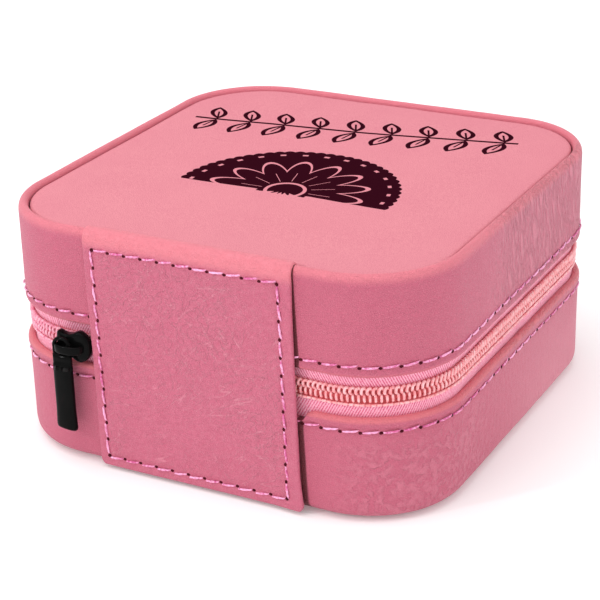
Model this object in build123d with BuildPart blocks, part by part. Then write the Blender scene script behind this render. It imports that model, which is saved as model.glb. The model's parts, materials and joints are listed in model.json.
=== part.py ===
from build123d import *
import os

os.makedirs("parts", exist_ok=True)

# A square zip-round jewellery case: +Z up, the hinge at the back (+Y), and the
# origin at the centre of the underside. All sizes are in millimetres.

# Outside of the case
width = 100.0
depth = 102.0
height = 53.0
corner_radius = 20.5
bottom_radius = 3.0
base_hem_z = 23.0
lid_hem_z = 31.8
gap_z = (base_hem_z + lid_hem_z) / 2
back_y = depth / 2

# Layers of the walls, as insets from the outer leather face
cover_inset = 1.5
tape_inset = 2.1
frame_inset = 4.5
lid_lining_inset = 5.3
lip_outer_inset = 6.0
lip_inner_inset = 7.6

# Heights of the layers in the base and in the lid
bottom_cover_top = 0.5
wrap_top = 1.5
board_top = 3.5
floor_top = 4.3
frame_setback = 0.5
lip_top = 35.0
wall_top = 21.0
lid_board_low = 48.0
lid_board_top = 50.0
ceiling_z = 47.2
rim_width = 3.0
rim_fillet = 1.4

# Zip
tape_tuck = 6.0
coil_half_height = 2.35
coil_parting = 0.45
coil_outer_inset = 0.6
coil_inner_inset = 2.2
zip_end_x = 20.0
stub_end_x = 33.2
main_tape_start_x = 33.5

# Hinge panel of leather over the back
panel_half_width = 23.75
panel_thickness = 1.0
panel_foot_z = 0.8
panel_base_top = 24.5
panel_lid_foot = 30.3
panel_tuck = 0.85
fold_clearance = 0.3
hinge_y = back_y + 0.6

# Slider, bridge and pull
slider_x = 28.1
slider_length = 8.0
slider_half_height = 3.6
plate_thickness = 1.6
flange_depth = 1.1
inner_plate_outer_y = back_y - 3.0
inner_plate_thickness = 1.2
web_half_height = 0.3
pull_x = 30.0
pull_y = back_y + 3.2
loop_outer_radius = 1.4
loop_inner_radius = 0.8
loop_width = 1.2
bar_radius = 0.6
tab_length = 18.6
tab_top_half = 2.45
tab_bottom_half = 2.55
tab_thickness = 1.8

# Inside of the base
roll_count = 7
roll_pitch = 11.0
roll_thickness = 10.6
roll_top = 18.0
roll_left_x = -41.8
end_roll_left_x = -38.6
roll_right_x = -12.9
ring_wall_x = -11.6
wall_thickness = 1.6
divider_y = 14.5
divider_play = 0.3
guide_width = 1.2
guide_reach = 1.6

# Inside of the lid
pocket_front_y = 6.0
pocket_half_width = 40.0
pocket_low = 41.2
pocket_wall = 0.8
tab_spacing = 24.0
tab_pivot_y = -39.0
necklace_tab_length = 24.0
necklace_tab_width = 8.0
necklace_tab_thickness = 1.1
necklace_tab_z = 46.05
snap_offset = 20.0


def case_plan(inset, mode=Mode.ADD):
    """The case's rounded outline, moved in from the outer leather face."""
    RectangleRounded(
        width - 2 * inset, depth - 2 * inset, corner_radius - inset, mode=mode
    )


def save(builder, name):
    """Label a finished piece and write its STEP file."""
    builder.part.label = name
    export_step(builder.part, f"parts/{name}.step")


def wall_band(name, outer_inset, inner_inset, low, high):
    """A plain band that follows the walls all the way round."""
    with BuildPart() as band:
        with BuildSketch(Plane.XY.offset(low)):
            case_plan(outer_inset)
            case_plan(inner_inset, Mode.SUBTRACT)
        extrude(amount=high - low)
    save(band, name)


def flat_sheet(name, inset, low, high):
    """A flat layer with the case's outline."""
    with BuildPart() as sheet:
        with BuildSketch(Plane.XY.offset(low)):
            case_plan(inset)
        extrude(amount=high - low)
    save(sheet, name)


def zip_band(name, outer_inset, inner_inset, low, high, left_x, right_x):
    """A zip band with its opening at the back, between two places along X."""
    with BuildPart() as band:
        with BuildSketch(Plane.XY.offset(low)):
            case_plan(outer_inset)
            case_plan(inner_inset, Mode.SUBTRACT)
            with Locations(((left_x + right_x) / 2, back_y)):
                Rectangle(right_x - left_x, corner_radius, mode=Mode.SUBTRACT)
        extrude(amount=high - low)
    save(band, name)


def zip_stub(name, outer_inset, inner_inset, low, high):
    """The short end of a zip band that lies beside the panel and in the slider."""
    with BuildPart() as stub:
        with BuildSketch(Plane.XY.offset(low)):
            case_plan(outer_inset)
            case_plan(inner_inset, Mode.SUBTRACT)
            with Locations(((zip_end_x + stub_end_x) / 2, back_y)):
                Rectangle(stub_end_x - zip_end_x, corner_radius, mode=Mode.INTERSECT)
        extrude(amount=high - low)
    save(stub, name)


# ---------------------------------------------------------------- base shell
flat_sheet("base_bottom_cover", 4.0, 0, bottom_cover_top)

with BuildPart() as base_wall_cover:
    with BuildSketch(Plane.XY.offset(bottom_cover_top)):
        case_plan(0)
    extrude(amount=base_hem_z - bottom_cover_top)
    fillet(base_wall_cover.edges().group_by(Axis.Z)[0], bottom_radius)
    with BuildSketch(Plane.XY.offset(wrap_top)):
        case_plan(cover_inset)
    extrude(amount=base_hem_z - wrap_top, mode=Mode.SUBTRACT)
    with BuildSketch(Plane.XY.offset(bottom_cover_top)):
        case_plan(10.0)
    extrude(amount=wrap_top - bottom_cover_top, mode=Mode.SUBTRACT)
save(base_wall_cover, "base_wall_cover")

with BuildPart() as base_board:
    with BuildSketch(Plane.XY.offset(wrap_top)):
        case_plan(cover_inset)
    extrude(amount=board_top - wrap_top)
    with BuildSketch(Plane.XY.offset(bottom_cover_top)):
        case_plan(10.2)
    extrude(amount=wrap_top - bottom_cover_top)
save(base_board, "base_board")

wall_band("base_wall_frame", tape_inset, frame_inset, board_top, base_hem_z - frame_setback)
wall_band("base_wall_lining", frame_inset, lip_outer_inset, floor_top, base_hem_z - frame_setback)
flat_sheet("base_floor_lining", frame_inset, board_top, floor_top)
wall_band("base_lip", lip_outer_inset, lip_inner_inset, floor_top, lip_top)

# ------------------------------------------------------------- base interior
for index in range(roll_count):
    at_an_end = index in (0, roll_count - 1)
    left_x = end_roll_left_x if at_an_end else roll_left_x
    roll_y = (index - (roll_count - 1) / 2) * roll_pitch
    with BuildPart() as ring_roll:
        with BuildSketch(Plane.YZ.offset(left_x)):
            with Locations((roll_y, (floor_top + roll_top) / 2)):
                Rectangle(roll_thickness, roll_top - floor_top)
        extrude(amount=roll_right_x - left_x)
        fillet(ring_roll.faces().sort_by(Axis.Z)[-1].edges().filter_by(Axis.X), 4.5)
    save(ring_roll, f"ring_roll_{index + 1}")

ring_wall_length = depth - 2 * lip_inner_inset - 0.2
guide_offset = wall_thickness / 2 + divider_play + guide_width / 2
guide_places = [
    side * divider_y + hand * guide_offset for side in (-1, 1) for hand in (-1, 1)
]
with BuildPart() as ring_well_wall:
    with BuildSketch(Plane.XY.offset(floor_top)):
        with Locations((ring_wall_x, 0)):
            Rectangle(wall_thickness, ring_wall_length)
        with Locations([(ring_wall_x + guide_reach, y) for y in guide_places]):
            Rectangle(guide_reach, guide_width)
    extrude(amount=wall_top - floor_top)
save(ring_well_wall, "ring_well_wall")

lip_inner_x = width / 2 - lip_inner_inset
with BuildPart() as divider_guides:
    with BuildSketch(Plane.XY.offset(floor_top)):
        with Locations([(lip_inner_x - guide_reach / 2, y) for y in guide_places]):
            Rectangle(guide_reach, guide_width)
    extrude(amount=wall_top - floor_top)
save(divider_guides, "divider_guides")

divider_low_x = ring_wall_x + wall_thickness / 2 + divider_play
divider_high_x = lip_inner_x - divider_play
for name, side in (("divider_front", -1), ("divider_rear", 1)):
    with BuildPart() as divider:
        with BuildSketch(Plane.XY.offset(floor_top)):
            with Locations(((divider_low_x + divider_high_x) / 2, side * divider_y)):
                Rectangle(divider_high_x - divider_low_x, wall_thickness)
        extrude(amount=wall_top - floor_top)
        fillet(divider.faces().sort_by(Axis.Z)[-1].edges().filter_by(Axis.X), 0.7)
    save(divider, name)

# ----------------------------------------------------------------- lid shell
wall_band("lid_wall_cover", 0, cover_inset, lid_hem_z, lid_board_top)
wall_band("lid_wall_frame", tape_inset, frame_inset, lid_hem_z + frame_setback, lid_board_low)
wall_band("lid_wall_lining", frame_inset, lid_lining_inset, lid_hem_z + 0.2, ceiling_z)
flat_sheet("lid_ceiling_lining", frame_inset, ceiling_z, lid_board_low)
flat_sheet("lid_board", cover_inset, lid_board_low, lid_board_top)
flat_sheet("lid_foam_pad", 4.3, lid_board_top, lid_board_top + 1.0)

with BuildPart() as lid_top_panel:
    with BuildSketch(Plane.XY.offset(lid_board_top + 1.0)):
        case_plan(rim_width + 0.9)
    extrude(amount=1.1)
    fillet(lid_top_panel.faces().sort_by(Axis.Z)[-1].edges(), 0.6)
save(lid_top_panel, "lid_top_panel")

with BuildPart() as lid_rim_bead:
    with BuildSketch(Plane.XY.offset(lid_board_top)):
        case_plan(0)
        case_plan(rim_width, Mode.SUBTRACT)
    extrude(amount=height - lid_board_top)
    fillet(lid_rim_bead.faces().sort_by(Axis.Z)[-1].edges(), rim_fillet)
save(lid_rim_bead, "lid_rim_bead")

# -------------------------------------------------------------- lid interior
pocket_rear_y = back_y - lid_lining_inset - 0.3
pocket_middle_y = (pocket_front_y + pocket_rear_y) / 2
pocket_depth = pocket_rear_y - pocket_front_y
pocket_corner = corner_radius - lid_lining_inset - 0.3
with BuildPart() as lid_pocket:
    with BuildSketch(Plane.XY.offset(pocket_low)):
        with Locations((0, pocket_middle_y)):
            rear_block = Rectangle(2 * pocket_half_width, pocket_depth)
        fillet(rear_block.vertices().group_by(Axis.Y)[-1], pocket_corner)
    extrude(amount=ceiling_z - pocket_low)
    with BuildSketch(Plane.XY.offset(pocket_low + pocket_wall)):
        with Locations((0, pocket_middle_y - pocket_wall)):
            hollow = Rectangle(2 * (pocket_half_width - pocket_wall), pocket_depth)
        fillet(hollow.vertices().group_by(Axis.Y)[-1], pocket_corner - pocket_wall)
    extrude(amount=ceiling_z - pocket_low - pocket_wall, mode=Mode.SUBTRACT)
save(lid_pocket, "lid_pocket")

with BuildPart() as pocket_elastic:
    with BuildSketch(Plane.YZ.offset(-pocket_half_width)):
        with Locations((pocket_front_y - 0.8, pocket_low + 0.4)):
            Rectangle(1.6, 1.6)
    extrude(amount=2 * pocket_half_width)
    fillet(pocket_elastic.edges().filter_by(Axis.X), 0.5)
save(pocket_elastic, "pocket_elastic")

tab_places = [tab_spacing * (index - 1) for index in range(3)]
anchor_gap = necklace_tab_thickness / 2 + 0.35
with BuildPart() as necklace_tab_anchors:
    with BuildSketch(Plane.XY.offset(necklace_tab_z - necklace_tab_thickness / 2)):
        with Locations([(x, tab_pivot_y - anchor_gap - 1.2) for x in tab_places]):
            Rectangle(necklace_tab_width, 2.4)
    extrude(amount=ceiling_z - necklace_tab_z + necklace_tab_thickness / 2)
save(necklace_tab_anchors, "necklace_tab_anchors")

snap_y = tab_pivot_y + snap_offset
stud_low = necklace_tab_z - necklace_tab_thickness / 2 + 0.1
with BuildPart() as snap_sockets:
    with BuildSketch(Plane.XY.offset(ceiling_z - 0.5)):
        with Locations([(x, snap_y) for x in tab_places]):
            Circle(2.5)
    extrude(amount=0.5)
    with BuildSketch(Plane.XY.offset(stud_low)):
        with Locations([(x, snap_y) for x in tab_places]):
            Circle(1.2)
    extrude(amount=ceiling_z - 0.5 - stud_low)
save(snap_sockets, "snap_sockets")

tab_free_y = tab_pivot_y + necklace_tab_length
for index, tab_x in enumerate(tab_places):
    with BuildPart() as necklace_tab:
        with BuildSketch(Plane.XY.offset(necklace_tab_z - necklace_tab_thickness / 2)):
            with Locations((tab_x, (tab_pivot_y + tab_free_y) / 2)):
                Rectangle(necklace_tab_width, necklace_tab_length)
        extrude(amount=necklace_tab_thickness)
        free_corners = necklace_tab.edges().filter_by(Axis.Z).group_by(Axis.Y)[-1]
        fillet(free_corners, 3.5)
        with Locations((tab_x, snap_y, necklace_tab_z)):
            Cylinder(1.7, 2 * necklace_tab_thickness, mode=Mode.SUBTRACT)
        with BuildSketch(Plane.YZ.offset(tab_x - necklace_tab_width / 2)):
            with Locations((tab_pivot_y, necklace_tab_z)):
                Circle(necklace_tab_thickness / 2)
        extrude(amount=necklace_tab_width)
    save(necklace_tab, f"necklace_tab_{index + 1}")

    cap_top = necklace_tab_z - necklace_tab_thickness / 2
    with BuildPart() as snap_cap:
        with BuildSketch(Plane.XY.offset(cap_top - 0.9)):
            with Locations((tab_x, snap_y)):
                Circle(3.0)
        extrude(amount=0.9)
        fillet(snap_cap.faces().sort_by(Axis.Z)[0].edges(), 0.6)
    save(snap_cap, f"snap_cap_{index + 1}")

# ----------------------------------------------------------------------- zip
coil_low = gap_z - coil_half_height
coil_high = gap_z + coil_half_height
zip_band("zip_tape_lower", cover_inset, tape_inset, base_hem_z - tape_tuck, coil_low,
         -zip_end_x, zip_end_x)
zip_band("zip_tape_upper", cover_inset, tape_inset, coil_high, lid_hem_z + tape_tuck,
         -zip_end_x, main_tape_start_x)
zip_band("zip_coil_lower", coil_outer_inset, coil_inner_inset, coil_low, gap_z - coil_parting,
         -zip_end_x, zip_end_x)
zip_band("zip_coil_upper", coil_outer_inset, coil_inner_inset, gap_z + coil_parting, coil_high,
         -zip_end_x, main_tape_start_x)
zip_stub("zip_tape_end", cover_inset, tape_inset, coil_high, lid_hem_z - 0.2)
zip_stub("zip_coil_end", coil_outer_inset, coil_inner_inset, gap_z + coil_parting, coil_high)

stop_height = coil_half_height - coil_parting
for name, low in (("zip_stop_lower", coil_low), ("zip_stop_upper", gap_z + coil_parting)):
    with BuildPart() as zip_stop:
        with BuildSketch(Plane.XY.offset(low)):
            with Locations((-zip_end_x + 0.9, back_y - 1.5)):
                Rectangle(1.6, 1.6)
        extrude(amount=stop_height)
    save(zip_stop, name)

# --------------------------------------------------------------- hinge panel
fold_low = panel_base_top + fold_clearance
fold_high = panel_lid_foot - fold_clearance
for name, low, high in (
    ("hinge_panel_base", panel_foot_z, panel_base_top),
    ("hinge_panel_fold", fold_low, fold_high),
):
    with BuildPart() as panel_strip:
        with BuildSketch(Plane.YZ.offset(-panel_half_width)):
            with Locations((back_y + panel_thickness / 2, (low + high) / 2)):
                Rectangle(panel_thickness, high - low)
        extrude(amount=2 * panel_half_width)
    save(panel_strip, name)

# The lid's part of the panel goes up the wall, over the rim and into the groove
panel_top = height + 0.9
panel_inner_y = back_y - rim_width - panel_tuck
panel_outer_y = back_y + panel_thickness
tuck_low = height - 0.8
with BuildPart() as hinge_panel_lid:
    with BuildSketch(Plane.YZ.offset(-panel_half_width)):
        with Locations(((panel_inner_y + panel_outer_y) / 2, (panel_lid_foot + panel_top) / 2)):
            skin = Rectangle(panel_outer_y - panel_inner_y, panel_top - panel_lid_foot)
        fillet(skin.vertices().group_by(Axis.Y)[-1], rim_fillet + 0.8)
        with Locations((back_y - rim_width / 2, height / 2)):
            RectangleRounded(rim_width, height, rim_fillet, mode=Mode.SUBTRACT)
        with Locations((panel_inner_y, tuck_low / 2)):
            Rectangle(2 * panel_tuck, tuck_low, mode=Mode.SUBTRACT)
    extrude(amount=2 * panel_half_width)
save(hinge_panel_lid, "hinge_panel_lid")

# The cloth strip behind the panel joins the two frames on the inside
with BuildPart() as hinge_lining:
    with BuildSketch(Plane.XY.offset(base_hem_z - frame_setback + 0.1)):
        with Locations((0, back_y - tape_inset - 0.4)):
            Rectangle(2 * zip_end_x - 4, 0.8)
    extrude(amount=lid_hem_z - base_hem_z + 2 * frame_setback - 0.2)
save(hinge_lining, "hinge_lining")

# ------------------------------------------------------------ slider and pull
plate_middle_y = back_y + plate_thickness / 2
flange_z = slider_half_height - 0.5
with BuildPart() as slider_body:
    with BuildSketch(Plane.XZ.offset(-back_y - plate_thickness)):
        with Locations((slider_x, gap_z)):
            RectangleRounded(slider_length, 2 * slider_half_height, 2.4)
    extrude(amount=plate_thickness)
    fillet(slider_body.faces().sort_by(Axis.Y)[-1].edges(), 0.6)
    with Locations([(slider_x, back_y - flange_depth / 2, gap_z + s * flange_z) for s in (-1, 1)]):
        Box(slider_length - 4.0, flange_depth, 0.8)
    with BuildSketch(Plane.XZ.offset(-inner_plate_outer_y)):
        with Locations((slider_x, gap_z)):
            RectangleRounded(slider_length - 0.6, 2 * slider_half_height - 0.6, 2.2)
    extrude(amount=inner_plate_thickness)
    with Locations((slider_x - slider_length / 2 + 2.0, (back_y + inner_plate_outer_y) / 2, gap_z)):
        Box(2.6, back_y - inner_plate_outer_y, 2 * web_half_height)
save(slider_body, "slider_body")

plate_face_y = back_y + plate_thickness
block_low_x = slider_x - slider_length / 2 + 1.0
block_high_x = pull_x - loop_width / 2 - 0.4
post_low_x = pull_x + loop_width / 2 + 0.3
with BuildPart() as slider_bridge:
    with BuildSketch(Plane.YZ.offset(block_low_x)):
        with Locations(((plate_face_y + pull_y + bar_radius) / 2, gap_z)):
            Rectangle(pull_y + bar_radius - plate_face_y, 3.2)
    extrude(amount=block_high_x - block_low_x)
    fillet(slider_bridge.faces().sort_by(Axis.Y)[-1].edges(), 0.6)
    with BuildSketch(Plane.YZ.offset(block_high_x - 1.0)):
        with Locations((pull_y, gap_z)):
            Circle(bar_radius)
    extrude(amount=post_low_x + 1.5 - block_high_x)
    with Locations((post_low_x + 0.4, (plate_face_y + pull_y) / 2, gap_z)):
        Box(0.8, pull_y - plate_face_y, 2 * bar_radius)
save(slider_bridge, "slider_bridge")

# The pull hangs from the bridge's bar by a ring, and its tab widens downwards
tab_top_z = gap_z - loop_outer_radius - 1.2
tab_foot_z = gap_z - tab_length
with BuildPart() as pull_tab:
    with BuildSketch(Plane.XZ.offset(-pull_y - tab_thickness / 2)):
        with BuildLine():
            Polyline(
                (pull_x - tab_top_half, tab_top_z),
                (pull_x + tab_top_half, tab_top_z),
                (pull_x + tab_bottom_half, tab_foot_z),
                (pull_x - tab_bottom_half, tab_foot_z + 1.4),
                close=True,
            )
        make_face()
    extrude(amount=tab_thickness)
    fillet(pull_tab.edges().filter_by(Axis.Y), 0.9)
    fillet(pull_tab.faces().sort_by(Axis.Y)[-1].edges(), 0.5)
    with BuildSketch(Plane.YZ.offset(pull_x - loop_width / 2)):
        with Locations((pull_y, gap_z)):
            Circle(loop_outer_radius)
        with Locations((pull_y, (tab_top_z + gap_z - loop_outer_radius) / 2)):
            Rectangle(1.1, loop_outer_radius + 1.0)
        with Locations((pull_y, gap_z)):
            Circle(loop_inner_radius, mode=Mode.SUBTRACT)
    extrude(amount=loop_width)
save(pull_tab, "pull_tab")
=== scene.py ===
import bpy
import bmesh
import json
import math
import numpy as np
from mathutils import Matrix, Vector, noise


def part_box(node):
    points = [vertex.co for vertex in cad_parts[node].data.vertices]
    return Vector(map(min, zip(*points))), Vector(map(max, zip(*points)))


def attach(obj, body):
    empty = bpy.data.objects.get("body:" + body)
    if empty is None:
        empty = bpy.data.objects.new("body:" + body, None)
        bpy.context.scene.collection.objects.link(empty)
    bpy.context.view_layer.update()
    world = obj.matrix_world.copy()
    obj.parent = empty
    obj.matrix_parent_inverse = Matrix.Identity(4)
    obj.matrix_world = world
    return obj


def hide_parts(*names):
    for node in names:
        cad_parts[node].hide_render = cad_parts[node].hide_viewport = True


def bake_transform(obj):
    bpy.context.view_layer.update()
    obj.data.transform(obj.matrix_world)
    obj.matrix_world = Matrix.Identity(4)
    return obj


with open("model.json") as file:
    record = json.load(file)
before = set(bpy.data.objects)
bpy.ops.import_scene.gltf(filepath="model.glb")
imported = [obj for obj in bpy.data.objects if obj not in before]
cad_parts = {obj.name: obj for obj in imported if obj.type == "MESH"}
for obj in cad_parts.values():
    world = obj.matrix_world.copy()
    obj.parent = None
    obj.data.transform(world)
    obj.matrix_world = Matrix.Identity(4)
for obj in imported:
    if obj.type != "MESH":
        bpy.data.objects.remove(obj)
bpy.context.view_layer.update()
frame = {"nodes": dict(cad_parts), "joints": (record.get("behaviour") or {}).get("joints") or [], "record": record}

# Lengths in this script are in millimetres, and the mesh makers turn them into metres
mm = 0.001
joints = {joint["name"]: joint for joint in frame["joints"]}


def low(node):
    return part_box(node)[0] / mm


def high(node):
    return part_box(node)[1] / mm


cornerAt = Vector(joints["slider_travel"]["pos_m"]) / mm
hingeAt = Vector(joints["lid_hinge"]["pos_m"]) / mm
halfWidth = high("base_wall_cover").x
halfDepth = high("base_wall_cover").y
cornerRadius = halfWidth - cornerAt.x
gapMiddle = hingeAt.z
panelHalf = high("hinge_panel_base").x


class Wire:
    # a socket that can be used in sums, so that shader maths reads as maths
    def __init__(self, shade, socket):
        self.shade, self.socket = shade, socket

    def maths(self, operation, *others):
        values = {0: self}
        values.update({index + 1: other for index, other in enumerate(others)})
        return self.shade.node("ShaderNodeMath", {"operation": operation}, values)

    def __add__(self, other):
        return self.maths("ADD", other)

    def __sub__(self, other):
        return self.maths("SUBTRACT", other)

    def __rsub__(self, other):
        return self.shade.node("ShaderNodeMath", {"operation": "SUBTRACT"}, {0: other, 1: self})

    def __mul__(self, other):
        return self.maths("MULTIPLY", other)

    def __truediv__(self, other):
        return self.maths("DIVIDE", other)

    def __abs__(self):
        return self.maths("ABSOLUTE")

    __radd__, __rmul__ = __add__, __mul__

    def ramp(self, start, end, first=0.0, last=1.0):
        # a smooth step from first to last as the value goes from start to end
        settings = {"interpolation_type": "SMOOTHSTEP", "clamp": True}
        values = {0: self, 1: start, 2: end, 3: first, 4: last}
        return self.shade.node("ShaderNodeMapRange", settings, values)


class Shade:
    # one material and its Principled shader
    def __init__(self, name, **constants):
        self.material = bpy.data.materials.new(name)
        self.material.use_nodes = True
        self.tree = self.material.node_tree
        self.shader = self.tree.nodes["Principled BSDF"]
        for socket, value in constants.items():
            self.shader.inputs[socket.replace("_", " ")].default_value = value

    def node(self, kind, settings=None, values=None, outlet=0):
        made = self.tree.nodes.new(kind)
        for key, value in (settings or {}).items():
            setattr(made, key, value)
        for key, value in (values or {}).items():
            if isinstance(value, Wire):
                self.tree.links.new(value.socket, made.inputs[key])
            else:
                made.inputs[key].default_value = value
        return Wire(self, made.outputs[outlet])

    def place(self, scale=(1, 1, 1), turn=(0, 0, 0)):
        # object coordinates in millimetres, turned first and then stretched
        coords = self.node("ShaderNodeTexCoord", outlet=3)
        if any(turn):
            coords = self.node("ShaderNodeVectorRotate", {"rotation_type": "EULER_XYZ"},
                               {"Vector": coords, "Rotation": turn})
        values = {"Vector": coords, "Scale": [part / mm for part in scale]}
        return self.node("ShaderNodeMapping", {"vector_type": "POINT"}, values)

    def noise(self, size, detail=3.0, rough=0.55, where=None):
        values = {"Vector": where or self.place(), "Scale": 1 / size, "Detail": detail}
        values["Roughness"] = rough
        return self.node("ShaderNodeTexNoise", None, values)

    def cells(self, size, feature="F1", where=None):
        settings = {"feature": feature}
        return self.node("ShaderNodeTexVoronoi", settings,
                         {"Vector": where or self.place(), "Scale": 1 / size})

    def mix(self, factor, first, second, blend="MIX"):
        settings = {"data_type": "RGBA", "blend_type": blend}
        return self.node("ShaderNodeMix", settings, {0: factor, 6: first, 7: second}, outlet=2)

    def split(self, vector):
        made = self.node("ShaderNodeSeparateXYZ", None, {0: vector}).socket.node
        return [Wire(self, outlet) for outlet in made.outputs]

    def feed(self, socket, wire):
        self.tree.links.new(wire.socket, self.shader.inputs[socket])

    def bump(self, height, depth, strength=1.0):
        values = {"Height": height, "Distance": depth * mm, "Strength": strength}
        self.feed("Normal", self.node("ShaderNodeBump", None, values))


def colour(red, green, blue):
    # a display colour from 0 to 255, as the linear colour that shaders take
    parts = [part / 255 for part in (red, green, blue)]
    return tuple((p / 12.92 if p < 0.04 else ((p + 0.055) / 1.055) ** 2.4) for p in parts) + (1,)


leather = {
    "side": colour(202, 101, 125),
    "sideDeep": colour(190, 88, 114),
    "panel": colour(204, 104, 130),
    "top": colour(221, 142, 151),
    "topDeep": colour(209, 126, 140),
    # paler colour for real wear, scuffs and grain, also used as painted light: sheen on the -X wall and light from
    # the floor at its foot
    "wornAndLit": colour(244, 170, 184),
    # painted highlight colour for the lit folds of the hems
    "fold": colour(236, 128, 128),
    # painted highlight colour for the rim and for the panel's fold, lit from above
    "rim": colour(230, 128, 140),
    # painted shadow colour for the gap beside the hinge panel
    "gap": colour(82, 18, 22),
    "gapAt": 24.95,     # where the painted shadow beside the hinge panel meets the ground, and how it leans
    "gapLean": 0.0376,
    "ink": colour(48, 10, 22),
    "fine": 0.26,       # size of the finest specks
    "grain": 0.42,      # size of the grain's cells
    "pebble": 1.5,      # size of the soft pebbles
    "blister": 1.3,     # size of the raised blisters
    "gloss": 0.34,
    "sheen": 0.04,
}


def leatherShade(name, main, deep, rough, wrinkles=0.0, scratches=0.0, pebbles=0.6, depth=0.2,
                 spread=0.12, printed=False):
    # the printed leather is dead matt, so that the ink stays dark
    shade = Shade(name, Specular_IOR_Level=0.0 if printed else leather["gloss"],
                  Sheen_Weight=0.0 if printed else leather["sheen"])
    where = shade.place()
    x, y, z = shade.split(where)
    grain = shade.cells(leather["grain"], "DISTANCE_TO_EDGE").ramp(0.0, 0.32)
    fine = shade.noise(leather["fine"], 3.0, 0.6)
    soft = shade.noise(leather["pebble"], 3.0, 0.55)
    blister = shade.noise(leather["blister"], 1.0, 0.4).ramp(0.36, 0.66)
    broad = shade.noise(14.0, 2.0)
    patch = shade.noise(24.0, 1.0).ramp(0.42, 0.6)
    height = grain * 0.42 + fine * 0.42 + soft * pebbles
    tone = soft * 0.1 + broad * 0.1 + fine * 0.8
    base = shade.mix(tone.ramp(0.5 - spread, 0.5 + spread), deep, main)
    base = shade.mix(grain * 0.08, base, leather["wornAndLit"])
    if wrinkles:
        # creases that run up and down the wall, strongest on one side, and small blisters
        # low down near one corner
        along = shade.place((1, 1, 0.24), (0.2, 0, 0))
        crease = abs(shade.noise(1.7, 3.0, 0.6, along) - 0.5).ramp(-0.03, 0.13)
        here = x.ramp(-45.0, -49.0) * y.ramp(26.0, 4.0) * z.ramp(12.0, 34.0, 0.2, 1.0)
        height = height + (crease - 1) * (here + 0.02) * wrinkles
        # painted sheen: the upper front of the -X wall is painted paler, as light glances off it, and the creases
        # are painted back to the plain colour as painted shade in them
        base = shade.mix(here * 0.24, base, leather["wornAndLit"])
        base = shade.mix((1 - crease) * here * 0.5, base, leather["side"])
        corner = z.ramp(21.5, 15.0) * x.ramp(-26.0, -40.0) * y.ramp(8.0, 30.0)
        height = height + blister * (corner * 1.5 + 0.1)
        base = shade.mix(blister * corner * 0.14, base, leather["wornAndLit"])
        # painted light: the foot of the same wall is painted paler, as light from the floor falls on it
        far = z.ramp(30.0, 0.0) * x.ramp(-40.0, -50.0) * y.ramp(24.0, -20.0)
        base = shade.mix(far * 0.4, base, leather["wornAndLit"])
        # painted highlight: the rolled fold of each hem is painted paler and warmer, as light falls on it
        fold = (abs(z - 22.8).ramp(1.0, 0.2)).maths("MAXIMUM", abs(z - 32.0).ramp(0.7, 0.1) * 0.5)
        base = shade.mix(fold * 0.5, base, leather["fold"])
        # painted highlight: the rim bead at the top of the wall is painted paler, as the light from above falls on
        # it
        base = shade.mix(z.ramp(50.6, 52.6) * 0.75, base, leather["rim"])
        # painted shadow in the gap beside the hinge panel, which widens toward the foot
        beside = z * leather["gapLean"] - x - leather["gapAt"]
        gap = beside.ramp(0.72 - z * 0.009, 0.1) * beside.ramp(-1.0, -0.9) * y.ramp(49.0, 49.6)
        base = shade.mix(gap * 0.9, base, leather["gap"])
    if scratches:
        # thin diagonal scuffs, short crossed ones, and small curled marks, all inside the rectangle of stitches,
        # and a painted highlight along the fold over the top
        scratches = abs(x).ramp(21.2, 20.4) * z.ramp(49.2, 48.4) * z.ramp(3.2, 4.0) * scratches
        base = shade.mix(z.ramp(48.8, 51.6) * 0.85, base, leather["rim"])
        for turn, size, share in ((0.85, 1.6, 0.5), (-0.6, 1.1, 0.56), (1.25, 2.4, 0.5)):
            along = shade.place((1, 1, 0.12), (0, turn, 0))
            line = abs(shade.noise(size, 2.0, 0.4, along) - 0.5).ramp(0.014, 0.0)
            mark = line * shade.noise(7.0 + size, 1.0).ramp(share, share + 0.1) * scratches
            height = height + mark * 0.4
            base = shade.mix(mark * 0.3, base, leather["wornAndLit"])
        curl = abs(shade.noise(1.7, 1.0) - 0.5).ramp(0.024, 0.0) * (patch * 0.8 + 0.2)
        height = height + curl * 0.6 * scratches + blister * 0.15
        base = shade.mix(curl * scratches * 0.25, base, leather["wornAndLit"])
        base = shade.mix(blister * 0.05, base, leather["wornAndLit"])
    if printed:
        ink = printMask(shade, x, y)
        base = shade.mix(ink, base, leather["ink"])
        height = height - ink * 0.35
    shade.feed("Base Color", base)
    shade.feed("Roughness", (1 - grain) * 0.1 + soft * 0.12 + rough)
    shade.bump(height, depth, 1.0)
    return shade.material


# The print on the lid: a scalloped half-round fan over a leafy garland, with no lettering
fan = {
    "at": (-1.5, 13.5),
    "radius": 24.0,
    "scallops": 64,
    "scallop": 0.55,
    "rays": 14,
}
garland = {
    "at": (3.0, -26.5),
    "turn": math.radians(-8.5),
    "half": 38.7,
    "leaf": 8.6,
    "stroke": 0.5,
    "bow": 0.0012,
}


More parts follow.
